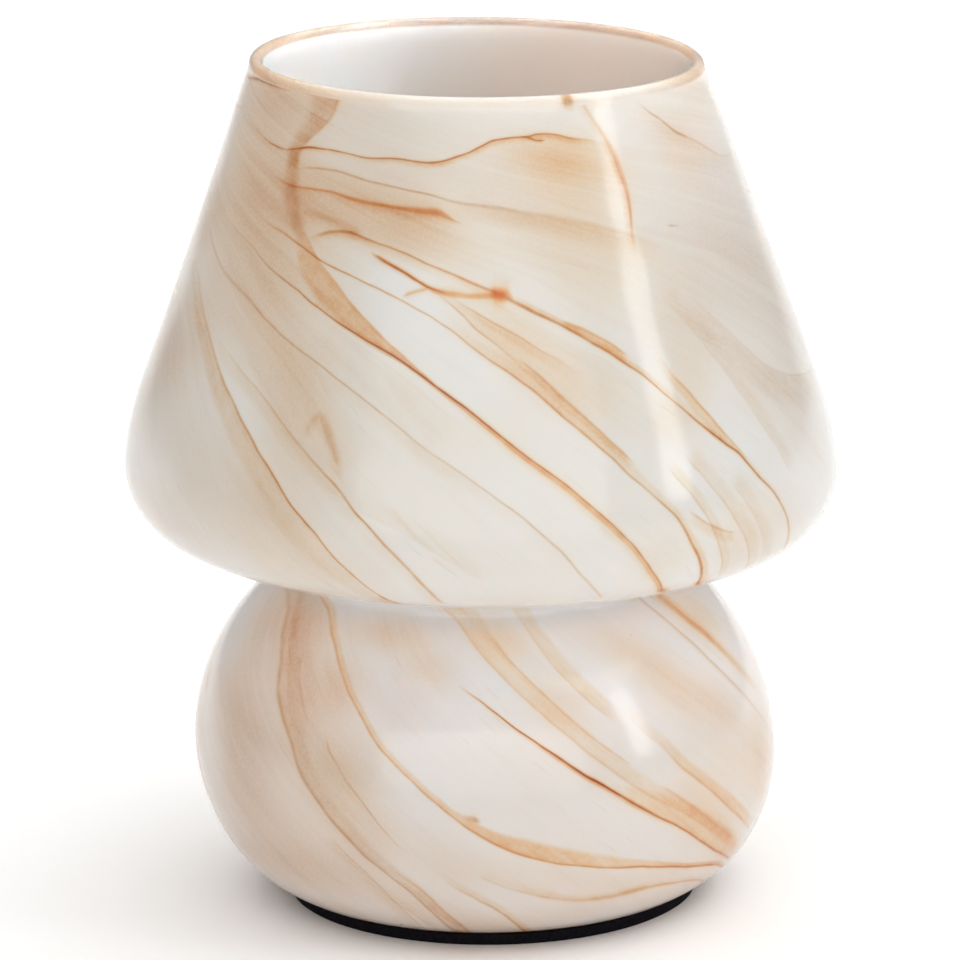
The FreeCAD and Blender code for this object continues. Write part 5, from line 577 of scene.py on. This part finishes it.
class Tree:
    def __init__(self, tree):
        self.t = tree

    def node(self, kind, **values):
        n = self.t.nodes.new(kind)
        for key, value in values.items():
            setattr(n, key, value)
        return n

    def put(self, socket, value):
        if isinstance(value, bpy.types.NodeSocket):
            self.t.links.new(value, socket)
        elif value is not None:
            socket.default_value = value

    def math(self, op, a, b=None, c=None, clamp=False):
        n = self.node("ShaderNodeMath", operation=op, use_clamp=clamp)
        for i, v in enumerate((a, b, c)):
            self.put(n.inputs[i], v)
        return n.outputs[0]

    def vec(self, op, a, b=None, scale=None):
        n = self.node("ShaderNodeVectorMath", operation=op)
        self.put(n.inputs[0], a)
        if b is not None:
            self.put(n.inputs[1], b)
        if scale is not None:
            self.put(n.inputs["Scale"], scale)
        return n.outputs["Value"] if op in ("LENGTH", "DISTANCE", "DOT_PRODUCT") else n.outputs[0]

    def split(self, v):
        n = self.node("ShaderNodeSeparateXYZ")
        self.put(n.inputs[0], v)
        return n.outputs[0], n.outputs[1], n.outputs[2]

    def join(self, x, y, z):
        n = self.node("ShaderNodeCombineXYZ")
        for i, v in enumerate((x, y, z)):
            self.put(n.inputs[i], v)
        return n.outputs[0]

    def attribute(self, name):
        n = self.node("ShaderNodeAttribute", attribute_name=name, attribute_type="GEOMETRY")
        return n.outputs["Vector"]

    def coords(self):
        return self.node("ShaderNodeTexCoord").outputs["Object"]

    def noise(self, vector, scale, detail=3.0, rough=0.55, distortion=0.0):
        n = self.node("ShaderNodeTexNoise", noise_dimensions="3D")
        self.put(n.inputs["Vector"], vector)
        n.inputs["Scale"].default_value = scale
        n.inputs["Detail"].default_value = detail
        n.inputs["Roughness"].default_value = rough
        n.inputs["Distortion"].default_value = distortion
        return n.outputs["Fac"]

    def voronoi(self, vector, scale, feature="F1", random=1.0):
        n = self.node("ShaderNodeTexVoronoi", voronoi_dimensions="3D", feature=feature)
        self.put(n.inputs["Vector"], vector)
        n.inputs["Scale"].default_value = scale
        n.inputs["Randomness"].default_value = random
        return n

    def ramp(self, fac, low, high, a=0.0, b=1.0, kind="SMOOTHSTEP"):
        n = self.node("ShaderNodeMapRange", interpolation_type=kind, clamp=True)
        self.put(n.inputs["Value"], fac)
        n.inputs["From Min"].default_value = low
        n.inputs["From Max"].default_value = high
        n.inputs["To Min"].default_value = a
        n.inputs["To Max"].default_value = b
        return n.outputs["Result"]

    def mix(self, fac, a, b):
        n = self.node("ShaderNodeMix", data_type="RGBA")
        self.put(n.inputs[0], fac)
        self.put(n.inputs[6], a)
        self.put(n.inputs[7], b)
        return n.outputs[2]

    def bump(self, height, strength, distance, normal=None):
        n = self.node("ShaderNodeBump")
        n.inputs["Strength"].default_value = strength
        n.inputs["Distance"].default_value = distance
        self.put(n.inputs["Height"], height)
        if normal is not None:
            self.put(n.inputs["Normal"], normal)
        return n.outputs["Normal"]


def rgb(r, g, b):
    return (r, g, b, 1.0)


def material(name):
    m = bpy.data.materials.new(name)
    m.use_nodes = True
    m.node_tree.nodes.clear()
    t = Tree(m.node_tree)
    out = t.node("ShaderNodeOutputMaterial")
    shader = t.node("ShaderNodeBsdfPrincipled")
    m.node_tree.links.new(shader.outputs[0], out.inputs["Surface"])
    return m, t, shader


# ------------------------------------------------------------------ glass material

AMBER = (0.05, 0.46, 1.0)  # how deep each colour of glass swallows red, green and blue
BROWN = (0.45, 0.55, 0.60)
OPAL = (0.612, 0.596, 0.577)
LINING = (0.71, 0.705, 0.70)


def vein_group():
    """One layer of the swirl: a line with soft edges and a band on one side of it."""
    g = bpy.data.node_groups.new("swirl_layer", "ShaderNodeTree")
    for n, kind in (("At", "NodeSocketVector"), ("Line", "NodeSocketVector"), ("Band", "NodeSocketVector"), ("Wander", "NodeSocketFloat"), ("Streak", "NodeSocketFloat")):
        g.interface.new_socket(n, in_out="INPUT", socket_type=kind)
    for n in ("Amber", "Brown"):
        g.interface.new_socket(n, in_out="OUTPUT", socket_type="NodeSocketFloat")
    t = Tree(g)
    i, o = t.node("NodeGroupInput"), t.node("NodeGroupOutput")
    d, w, bw = t.split(i.outputs["At"])
    la, lb, _ = t.split(i.outputs["Line"])
    ba, bb, soft = t.split(i.outputs["Band"])
    d = t.math("ADD", d, i.outputs["Wander"])
    x = t.math("DIVIDE", d, w)
    x2 = t.math("MULTIPLY", x, x)
    core = t.math("DIVIDE", 1.0, t.math("ADD", 1.0, t.math("MULTIPLY", x2, x2)))
    glow = t.math("DIVIDE", 0.16, t.math("ADD", 1.0, t.math("MULTIPLY", x2, 0.2)))
    glow = t.math("MULTIPLY", glow, t.ramp(t.math("ABSOLUTE", x), 2.2, 6.0, 1.0, 0.0))
    side = t.math("SIGN", bw)
    reach = t.math("ABSOLUTE", bw)
    sd = t.math("MULTIPLY", d, side)
    # the band rises over its near edge and drops over its far one
    blur = t.math("MULTIPLY_ADD", t.math("MULTIPLY", soft, reach), 0.3, 0.2)
    rise = t.math("DIVIDE", t.math("ADD", sd, blur), t.math("MULTIPLY", blur, 2.0), clamp=True)
    drop = t.math("DIVIDE", t.math("SUBTRACT", t.math("DIVIDE", sd, reach), t.math("SUBTRACT", 1.0, soft)), t.math("MULTIPLY", soft, 2.0), clamp=True)
    rise = t.math("MULTIPLY", t.math("MULTIPLY", rise, rise), t.math("MULTIPLY_ADD", rise, -2.0, 3.0))
    drop = t.math("MULTIPLY", t.math("MULTIPLY", drop, drop), t.math("MULTIPLY_ADD", drop, -2.0, 3.0))
    band = t.math("MULTIPLY", t.math("MULTIPLY", rise, t.math("SUBTRACT", 1.0, drop)), i.outputs["Streak"])
    amber = t.math("ADD", t.math("MULTIPLY", la, t.math("ADD", core, glow)), t.math("MULTIPLY", ba, band))
    brown = t.math("ADD", t.math("MULTIPLY", lb, t.math("ADD", core, t.math("MULTIPLY", glow, 0.3))), t.math("MULTIPLY", bb, band))
    t.put(o.inputs["Amber"], amber)
    t.put(o.inputs["Brown"], brown)
    return g


def glass_material(layers):
    m, t, s = material("opal_glass_swirled")
    group = vein_group()
    flow = t.attribute("swirl_flow")
    wash_a, wash_b, skin = t.split(t.attribute("swirl_wash"))
    place = t.coords()
    wander = t.math("MULTIPLY", t.math("SUBTRACT", t.noise(place, 110.0, 1.0), 0.5), 0.8)
    fine = t.noise(flow, 210.0, 4.0, 0.6)
    wide = t.noise(flow, 62.0, 3.0, 0.55, 0.4)
    hair = t.noise(flow, 620.0, 2.0, 0.5)
    grain = t.noise(place, 1300.0, 2.0, 0.6)
    grain = t.ramp(grain, 0.3, 0.72, 0.86, 1.18, "LINEAR")
    streak = t.math("MULTIPLY", t.ramp(fine, 0.30, 0.72, 0.72, 1.22, "LINEAR"), t.ramp(wide, 0.3, 0.7, 0.85, 1.12, "LINEAR"))
    streak = t.math("MULTIPLY", streak, grain)
    amber, brown = None, None
    for k in range(layers):
        n = t.node("ShaderNodeGroup")
        n.node_tree = group
        t.put(n.inputs["At"], t.attribute("swirl%d_at" % k))
        t.put(n.inputs["Line"], t.attribute("swirl%d_line" % k))
        t.put(n.inputs["Band"], t.attribute("swirl%d_band" % k))
        t.put(n.inputs["Wander"], wander)
        t.put(n.inputs["Streak"], streak)
        a, b = n.outputs["Amber"], n.outputs["Brown"]
        amber = a if amber is None else t.math("ADD", amber, a)
        brown = b if brown is None else t.math("ADD", brown, b)
    # a line's depth is uneven along it
    uneven = t.ramp(t.noise(place, 260.0, 2.0), 0.3, 0.7, 0.8, 1.2, "LINEAR")
    amber, brown = t.math("MULTIPLY", amber, uneven), t.math("MULTIPLY", brown, uneven)
    cloud = t.math("MULTIPLY", t.ramp(wide, 0.28, 0.74, 0.74, 1.24, "LINEAR"), t.ramp(fine, 0.25, 0.75, 0.90, 1.10, "LINEAR"))
    cloud = t.math("MULTIPLY", cloud, grain)
    amber = t.math("ADD", amber, t.math("MULTIPLY", t.math("MAXIMUM", wash_a, 0.0), cloud))
    brown = t.math("ADD", brown, t.math("MULTIPLY", t.math("MAXIMUM", wash_b, 0.0), cloud))
    # faint threads and milky breaks all over
    thread = t.ramp(hair, 0.60, 0.74)
    thread = t.math("MULTIPLY", thread, t.ramp(t.noise(flow, 40.0, 2.0), 0.45, 0.62))
    amber = t.math("ADD", amber, t.math("MULTIPLY", thread, 0.10))
    brown = t.math("ADD", brown, t.math("MULTIPLY", thread, 0.06))
    tone = t.noise(place, 14.0, 3.0)
    amber = t.math("ADD", amber, t.ramp(tone, 0.40, 0.75, 0.0, 0.07))
    brown = t.math("ADD", brown, t.ramp(fine, 0.42, 0.78, 0.0, 0.05))
    # specks of ash in the skin
    cells = t.voronoi(place, 46.0)
    lucky = t.ramp(t.split(cells.outputs["Color"])[0], 0.86, 0.88)
    speck = t.math("MULTIPLY", t.ramp(cells.outputs["Distance"], 0.012, 0.030, 1.0, 0.0), lucky)
    brown = t.math("ADD", brown, t.math("MULTIPLY", speck, 1.2))
    amber = t.math("ADD", amber, t.math("MULTIPLY", speck, 0.6))
    # the skin pulls together, darker, at the ground foot and along the lip
    z = t.split(place)[2]
    foot = t.ramp(t.math("ADD", z, t.math("MULTIPLY", t.math("SUBTRACT", wide, 0.5), 0.0016)), 0.0034, 0.0052, 1.0, 0.0)
    amber = t.math("ADD", amber, t.math("MULTIPLY", foot, 1.5))
    brown = t.math("ADD", brown, t.math("MULTIPLY", foot, 3.0))
    amber, brown = t.math("MULTIPLY", amber, skin), t.math("MULTIPLY", brown, skin)
    depth = t.vec("ADD", t.vec("SCALE", AMBER, scale=amber), t.vec("SCALE", BROWN, scale=brown))
    dr, dg, db = t.split(depth)
    through = [t.math("EXPONENT", t.math("MULTIPLY", d, -1.0)) for d in (dr, dg, db)]
    cased = t.node("ShaderNodeMix", data_type="VECTOR")
    t.put(cased.inputs[0], t.math("MULTIPLY", skin, 1.6, clamp=True))
    # painted light and shade on the lining: lighter towards the left and darker towards the right along a slant,
    # standing for light that falls in over the right of the rim
    px, _, pz = t.split(place)
    painted_light_slant = t.math("SUBTRACT", px, t.math("SUBTRACT", pz, 0.225))
    t.put(cased.inputs[4], t.vec("SCALE", LINING, scale=t.ramp(painted_light_slant, -0.046, 0.020, 1.26, 0.945)))
    t.put(cased.inputs[5], OPAL)
    # painted light: the top of the base, under the overhang of the shade, is made up to about a third whiter, standing
    # for light that comes through the shade; the shade and the lower base keep nearly the same white
    painted_light_under_overhang = t.math("MULTIPLY", t.ramp(z, 0.086, 0.106, 1.0, 0.755), t.ramp(z, 0.050, 0.088, 0.985, 1.32))
    white = t.vec("SCALE", cased.outputs[1], scale=t.math("ADD", t.math("MULTIPLY", skin, t.math("SUBTRACT", painted_light_under_overhang, 1.0)), 1.0))
    # the base is a little redder than the shade; the extra red at the top of the base, under the overhang, is painted
    # warm light standing for light that comes through the shade
    base_tint_and_painted_glow = t.math("MULTIPLY", t.ramp(z, 0.086, 0.106, 1.21, 1.0), t.ramp(z, 0.050, 0.086, 0.901, 1.0))
    white = t.vec("MULTIPLY", white, t.join(base_tint_and_painted_glow, t.ramp(z, 0.086, 0.106, 1.015, 1.0), 1.0))
    colour = t.vec("MULTIPLY", t.join(*through), white)
    t.put(s.inputs["Base Color"], colour)
    rough = t.ramp(t.noise(place, 90.0, 3.0), 0.3, 0.75, 0.09, 0.16, "LINEAR")
    t.put(s.inputs["Roughness"], rough)
    s.inputs["IOR"].default_value = 1.5
    s.inputs["Subsurface Weight"].default_value = 1.0
    s.inputs["Subsurface Radius"].default_value = (1.0, 0.75, 0.6)
    s.inputs["Subsurface Scale"].default_value = 0.013
    # the faint unevenness of blown glass, seeds and cords just under the surface
    cord = t.noise(flow, 150.0, 2.0, 0.5)
    seed = t.voronoi(place, 120.0)
    bubble = t.math("MULTIPLY", t.ramp(seed.outputs["Distance"], 0.03, 0.10, 1.0, 0.0), t.ramp(t.split(seed.outputs["Color"])[1], 0.93, 0.94))
    height = t.math("ADD", t.math("MULTIPLY", cord, 0.35), t.math("MULTIPLY", bubble, 0.5))
    height = t.math("ADD", height, t.math("MULTIPLY", t.noise(place, 45.0, 1.0), 1.0))
    t.put(s.inputs["Normal"], t.bump(height, 0.35, 0.00018))
    return m


# ------------------------------------------------------------------ plain materials with their own surface detail

def metal(name, tint, rough, brush=None, spots=0.0, dull=0.0):
    """A worked metal: tone and roughness vary, brush marks run round the axis or along z."""
    m, t, s = material(name)
    p = t.coords()
    x, y, z = t.split(p)
    if brush == "round":
        lane = t.join(t.math("SQRT", t.math("ADD", t.math("MULTIPLY", x, x), t.math("MULTIPLY", y, y))), t.math("MULTIPLY", z, 1.0), 0.0)
        line = t.noise(t.vec("SCALE", lane, scale=1.0), 5200.0, 2.0)
    elif brush == "long":
        line = t.noise(t.vec("MULTIPLY", p, (1.0, 1.0, 0.05)), 5200.0, 2.0)
    else:
        line = t.noise(p, 2400.0, 3.0)
    blotch = t.noise(p, 170.0, 4.0, 0.6)
    shade = t.math("ADD", t.ramp(line, 0.25, 0.75, -0.05, 0.05, "LINEAR"), t.ramp(blotch, 0.3, 0.75, -0.07, 0.06, "LINEAR"))
    base = t.mix(t.math("ADD", 0.5, t.math("MULTIPLY", shade, 4.0), clamp=True), rgb(*[c * 0.80 for c in tint]), rgb(*[min(1.0, c * 1.12) for c in tint]))
    if spots:
        pit = t.ramp(t.noise(p, 900.0, 4.0, 0.7), 0.62, 0.74, 0.0, spots)
        base = t.mix(pit, base, rgb(tint[0] * 0.45, tint[1] * 0.38, tint[2] * 0.30))
    t.put(s.inputs["Base Color"], base)
    s.inputs["Metallic"].default_value = 1.0 - dull
    t.put(s.inputs["Roughness"], t.ramp(t.math("ADD", line, t.math("MULTIPLY", blotch, 0.6)), 0.45, 1.15, rough * 0.75, rough * 1.4, "LINEAR"))
    t.put(s.inputs["Normal"], t.bump(line, 0.30, 0.00003))
    return m


def moulded(name, tint, rough, grain=900.0, depth=0.00004, sss=0.0):
    """Moulded plastic or rubber: a fine eroded grain, slight mottling, and flow tone."""
    m, t, s = material(name)
    p = t.coords()
    fine = t.noise(p, grain, 3.0)
    slow = t.noise(p, 120.0, 3.0)
    tone = t.math("ADD", t.math("MULTIPLY", fine, 0.35), t.math("MULTIPLY", slow, 0.65))
    t.put(s.inputs["Base Color"], t.mix(t.ramp(tone, 0.32, 0.68), rgb(*[c * 0.93 for c in tint]), rgb(*[min(1.0, c * 1.04) for c in tint])))
    t.put(s.inputs["Roughness"], t.ramp(fine, 0.3, 0.7, rough * 0.85, min(1.0, rough * 1.2), "LINEAR"))
    t.put(s.inputs["Normal"], t.bump(fine, 0.4, depth))
    if sss:
        s.inputs["Subsurface Weight"].default_value = sss
        s.inputs["Subsurface Radius"].default_value = (1.0, 0.8, 0.6)
        s.inputs["Subsurface Scale"].default_value = 0.0012
    return m


def foam_material():
    """Closed-cell foam: near black, matt, with cut cells open at the surface."""
    m, t, s = material("black_foam")
    p = t.coords()
    cells = t.voronoi(p, 1500.0)
    big = t.voronoi(p, 620.0)
    pore = t.ramp(cells.outputs["Distance"], 0.10, 0.42)
    pit = t.ramp(big.outputs["Distance"], 0.05, 0.22)
    rnd = t.split(cells.outputs["Color"])[0]
    tone = t.math("MULTIPLY", t.math("ADD", t.math("MULTIPLY", pore, 0.5), t.math("MULTIPLY", rnd, 0.5)), pit)
    dust = t.ramp(t.noise(p, 260.0, 4.0, 0.65), 0.56, 0.72, 0.0, 0.35)
    base = t.mix(tone, rgb(0.0018, 0.0012, 0.0022), rgb(0.0058, 0.0050, 0.0070))
    base = t.mix(dust, base, rgb(0.013, 0.010, 0.011))
    t.put(s.inputs["Base Color"], base)
    t.put(s.inputs["Roughness"], t.ramp(tone, 0.1, 0.9, 0.95, 0.72))
    s.inputs["Specular IOR Level"].default_value = 0.06
    height = t.math("ADD", t.math("MULTIPLY", pore, 0.6), t.math("MULTIPLY", pit, 0.8))
    t.put(s.inputs["Normal"], t.bump(height, 0.8, 0.00018))
    return m


def clear_glass(name, tint, rough=0.0):
    """Thin clear glass with a trace of smoke and fine drawing lines."""
    m, t, s = material(name)
    p = t.coords()
    film = t.noise(p, 55.0, 3.0)
    t.put(s.inputs["Base Color"], t.mix(film, rgb(*tint), rgb(*[c * 0.985 for c in tint])))
    t.put(s.inputs["Roughness"], t.ramp(film, 0.35, 0.75, rough, rough + 0.03, "LINEAR"))
    s.inputs["Transmission Weight"].default_value = 1.0
    s.inputs["IOR"].default_value = 1.45
    t.put(s.inputs["Normal"], t.bump(t.noise(t.vec("MULTIPLY", p, (1.0, 1.0, 0.2)), 160.0, 1.0), 0.1, 0.00005))
    return m


def paint(node, mat):
    ob = NODES[node]
    ob.data.materials.clear()
    ob.data.materials.append(mat)


# ------------------------------------------------------------------ build

glass, n_layers = make_glass()
glass.data.materials.append(glass_material(n_layers))
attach(glass, "lamp")
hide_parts("glass_body")


def make_pad():
    """The foot pad: die-cut foam that bulges a little under the lamp, with a cut edge that isn't quite true."""
    inner, outer, shift = 41.0, 58.0, 1.8
    prof = []
    n = 10
    for i in range(n + 1):  # outside edge, bulged
        a = -math.pi / 2 + math.pi * i / n
        prof.append((outer - 0.45 + 0.45 * math.cos(a) ** 0.7 if math.cos(a) > 1e-6 else outer - 0.45, PAD / 2 + (PAD / 2) * math.sin(a)))
    for k in range(1, 6):
        prof.append((outer - 0.45 - (outer - inner - 0.9) * k / 6, PAD))
    for i in range(n + 1):
        a = math.pi / 2 + math.pi * i / n
        prof.append((inner + 0.45 + 0.35 * math.cos(a), PAD / 2 + (PAD / 2) * math.sin(a)))
    for k in range(1, 6):
        prof.append((inner + 0.45 + (outer - inner - 0.9) * k / 6, 0.0))
    seg = 288
    pts = []
    for r, z in prof:
        for j in range(seg):
            a = 2 * math.pi * j / seg
            w = noise.noise(Vector((math.cos(a) * 2.2, math.sin(a) * 2.2, 3.1))) * 0.22 + noise.noise(Vector((math.cos(a) * 26, math.sin(a) * 26, z * 0.9))) * 0.06
            side = smooth(inner + 1, inner, r) + smooth(outer - 1, outer, r)
            rr = r + float(side) * w
            sag = 0.0
            pts.append(((shift + rr * math.cos(a)) * MM, rr * math.sin(a) * MM, (z + sag) * FIT * MM))
    faces = []
    m = len(prof)
    for i in range(m):
        for j in range(seg):
            k = (j + 1) % seg
            faces.append((i * seg + j, i * seg + k, ((i + 1) % m) * seg + k, ((i + 1) % m) * seg + j))
    me = bpy.data.meshes.new("foot_pad_foam")
    me.from_pydata(pts, [], faces)
    me.update()
    me.shade_smooth()
    ob = bpy.data.objects.new("foot_pad_foam", me)
    bpy.context.scene.collection.objects.link(ob)
    return ob


pad = make_pad()
pad.data.materials.append(foam_material())
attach(pad, "lamp")
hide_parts("foot_pad")

steel = metal("zinc_plate", (0.62, 0.62, 0.60), 0.34, spots=0.25)
paint("base_plate", steel)
paint("spring_clips", metal("spring_steel_satin", (0.46, 0.46, 0.46), 0.30, "long"))
paint("clip_rivets", metal("rivet_aluminium", (0.74, 0.74, 0.75), 0.38))
paint("clip_sleeves", moulded("clear_rubber", (0.72, 0.70, 0.64), 0.35, 700.0, sss=0.3))
paint("cord_grommet", moulded("grommet_rubber", (0.60, 0.58, 0.53), 0.42, 800.0, sss=0.2))
yellow = metal("yellow_zinc", (0.66, 0.60, 0.43), 0.30, "round", spots=0.15)
for part in ("stem_tube", "stem_nuts", "plain_washer", "lock_washer"):
    paint(part, yellow)
ivory = moulded("holder_plastic", (0.80, 0.785, 0.74), 0.34, 1000.0, 0.00002, sss=0.15)
for part in ("holder_cap", "holder_skirt"):
    paint(part, ivory)
paint("holder_insert", moulded("insert_plastic", (0.70, 0.69, 0.64), 0.55, 900.0))
screw = metal("screw_steel", (0.58, 0.58, 0.57), 0.32, "round")
paint("cap_set_screw", screw)
paint("terminal_screws", screw)
brass = metal("brass_bare", (0.78, 0.60, 0.29), 0.28, spots=0.2)
for part in ("terminals", "centre_contact", "shell_contact", "thread_shell"):
    paint(part, brass)
paint("bulb_tip", metal("solder", (0.58, 0.58, 0.59), 0.42, spots=0.2))
paint("bulb_insulator", moulded("black_glass", (0.012, 0.012, 0.014), 0.12, 500.0, 0.00001))
paint("bulb_cap", metal("nickel_plate", (0.72, 0.70, 0.66), 0.22, "round"))
paint("bulb_envelope", clear_glass("bulb_glass_clear", (0.98, 0.985, 0.99)))
paint("bulb_stem", clear_glass("bulb_mount_glass", (0.96, 0.975, 0.97)))
paint("bulb_filaments", moulded("phosphor", (0.85, 0.52, 0.10), 0.55, 1600.0))
paint("bulb_wires", metal("bulb_wire", (0.60, 0.57, 0.52), 0.35))
paint("bulb_driver", moulded("driver_board", (0.07, 0.20, 0.11), 0.45, 1400.0))

# ------------------------------------------------------------------ floor, light and camera

scene = bpy.context.scene


def floor_material():
    m, t, s = material("studio_floor")
    p = t.coords()
    t.put(s.inputs["Base Color"], t.mix(t.noise(p, 3.0, 3.0), rgb(0.955, 0.955, 0.952), rgb(0.97, 0.97, 0.968)))
    s.inputs["Roughness"].default_value = 0.85
    s.inputs["Specular IOR Level"].default_value = 0.15
    return m


me = bpy.data.meshes.new("studio_floor")
S = 30.0
me.from_pydata([(-S, -S, 0), (S, -S, 0), (S, S, 0), (-S, S, 0)], [], [(0, 1, 2, 3)])
floor = bpy.data.objects.new("studio_floor", me)
scene.collection.objects.link(floor)
me.materials.append(floor_material())

world = bpy.data.worlds.new("studio")
world.use_nodes = True
world.node_tree.nodes["Background"].inputs[0].default_value = (1.0, 0.995, 0.985, 1.0)
world.node_tree.nodes["Background"].inputs[1].default_value = 0.50
scene.world = world


def softbox(name, azimuth, elevation, distance, width, height, power, colour=(1, 1, 1), aim=(0, 0, 0.13)):
    """An area light at that bearing from the lamp (0 is the camera's side, + to the right)."""
    a, e = math.radians(azimuth), math.radians(elevation)
    to = Vector((math.sin(a) * math.cos(e), -math.cos(a) * math.cos(e), math.sin(e)))
    light = bpy.data.lights.new(name, "AREA")
    light.shape = "RECTANGLE"
    light.size, light.size_y = width, height
    light.energy = power
    light.color = colour
    ob = bpy.data.objects.new(name, light)
    ob.location = Vector(aim) + to * distance
    ob.rotation_mode = "QUATERNION"
    ob.rotation_quaternion = to.to_track_quat("Z", "Y")
    scene.collection.objects.link(ob)
    return ob


softbox("key_right", 65, 18, 1.5, 0.24, 0.74, 2.2)
softbox("key_high", 97, 52, 1.5, 0.30, 0.30, 0.6)
inside = softbox("key_inside", 82, 46, 1.6, 0.07, 0.07, 0.055, (0.95, 0.97, 1.0), aim=(-0.036, 0.036, 0.207))
inside.data.spread = math.radians(7.6)
softbox("front_wall", 0, 12, 4.2, 7.0, 2.6, 92.0)
softbox("overhead", 0, 90, 2.6, 5.0, 5.0, 98.0, aim=(0.9, 0.6, 0.0))

cam = bpy.data.cameras.new("camera")
cam.sensor_width = 36.0
cam.lens = 6148.015 / 960.0 * 36.0
cam.clip_start, cam.clip_end = 0.05, 60.0
camera = bpy.data.objects.new("camera", cam)
pitch, yaw, roll = 0.25186, -0.00042, -0.010
cy, sy, cp, sp = math.cos(yaw), math.sin(yaw), math.cos(pitch), math.sin(pitch)
right = Vector((cy, -sy, 0.0))
ahead = Vector((cp * sy, cp * cy, -sp))
upward = Vector((sp * sy, sp * cy, cp))
cr, sr = math.cos(roll), math.sin(roll)
right, upward = right * cr + upward * sr, upward * cr - right * sr
camera.matrix_world = Matrix((
    (right.x, upward.x, -ahead.x, 0.0),
    (right.y, upward.y, -ahead.y, -7.0 * 0.240 * FIT),
    (right.z, upward.z, -ahead.z, 2.29516 * 0.240 * FIT),
    (0.0, 0.0, 0.0, 1.0)))
scene.collection.objects.link(camera)
scene.camera = camera
scene.view_settings.view_transform = "Standard"
scene.view_settings.look = "None"
scene.cycles.use_denoising = True
scene.cycles.max_bounces = 12
scene.cycles.diffuse_bounces = 8
scene.cycles.transparent_max_bounces = 12
scene.cycles.caustics_reflective = False
scene.cycles.caustics_refractive = False
scene.cycles.sample_clamp_indirect = 6.0
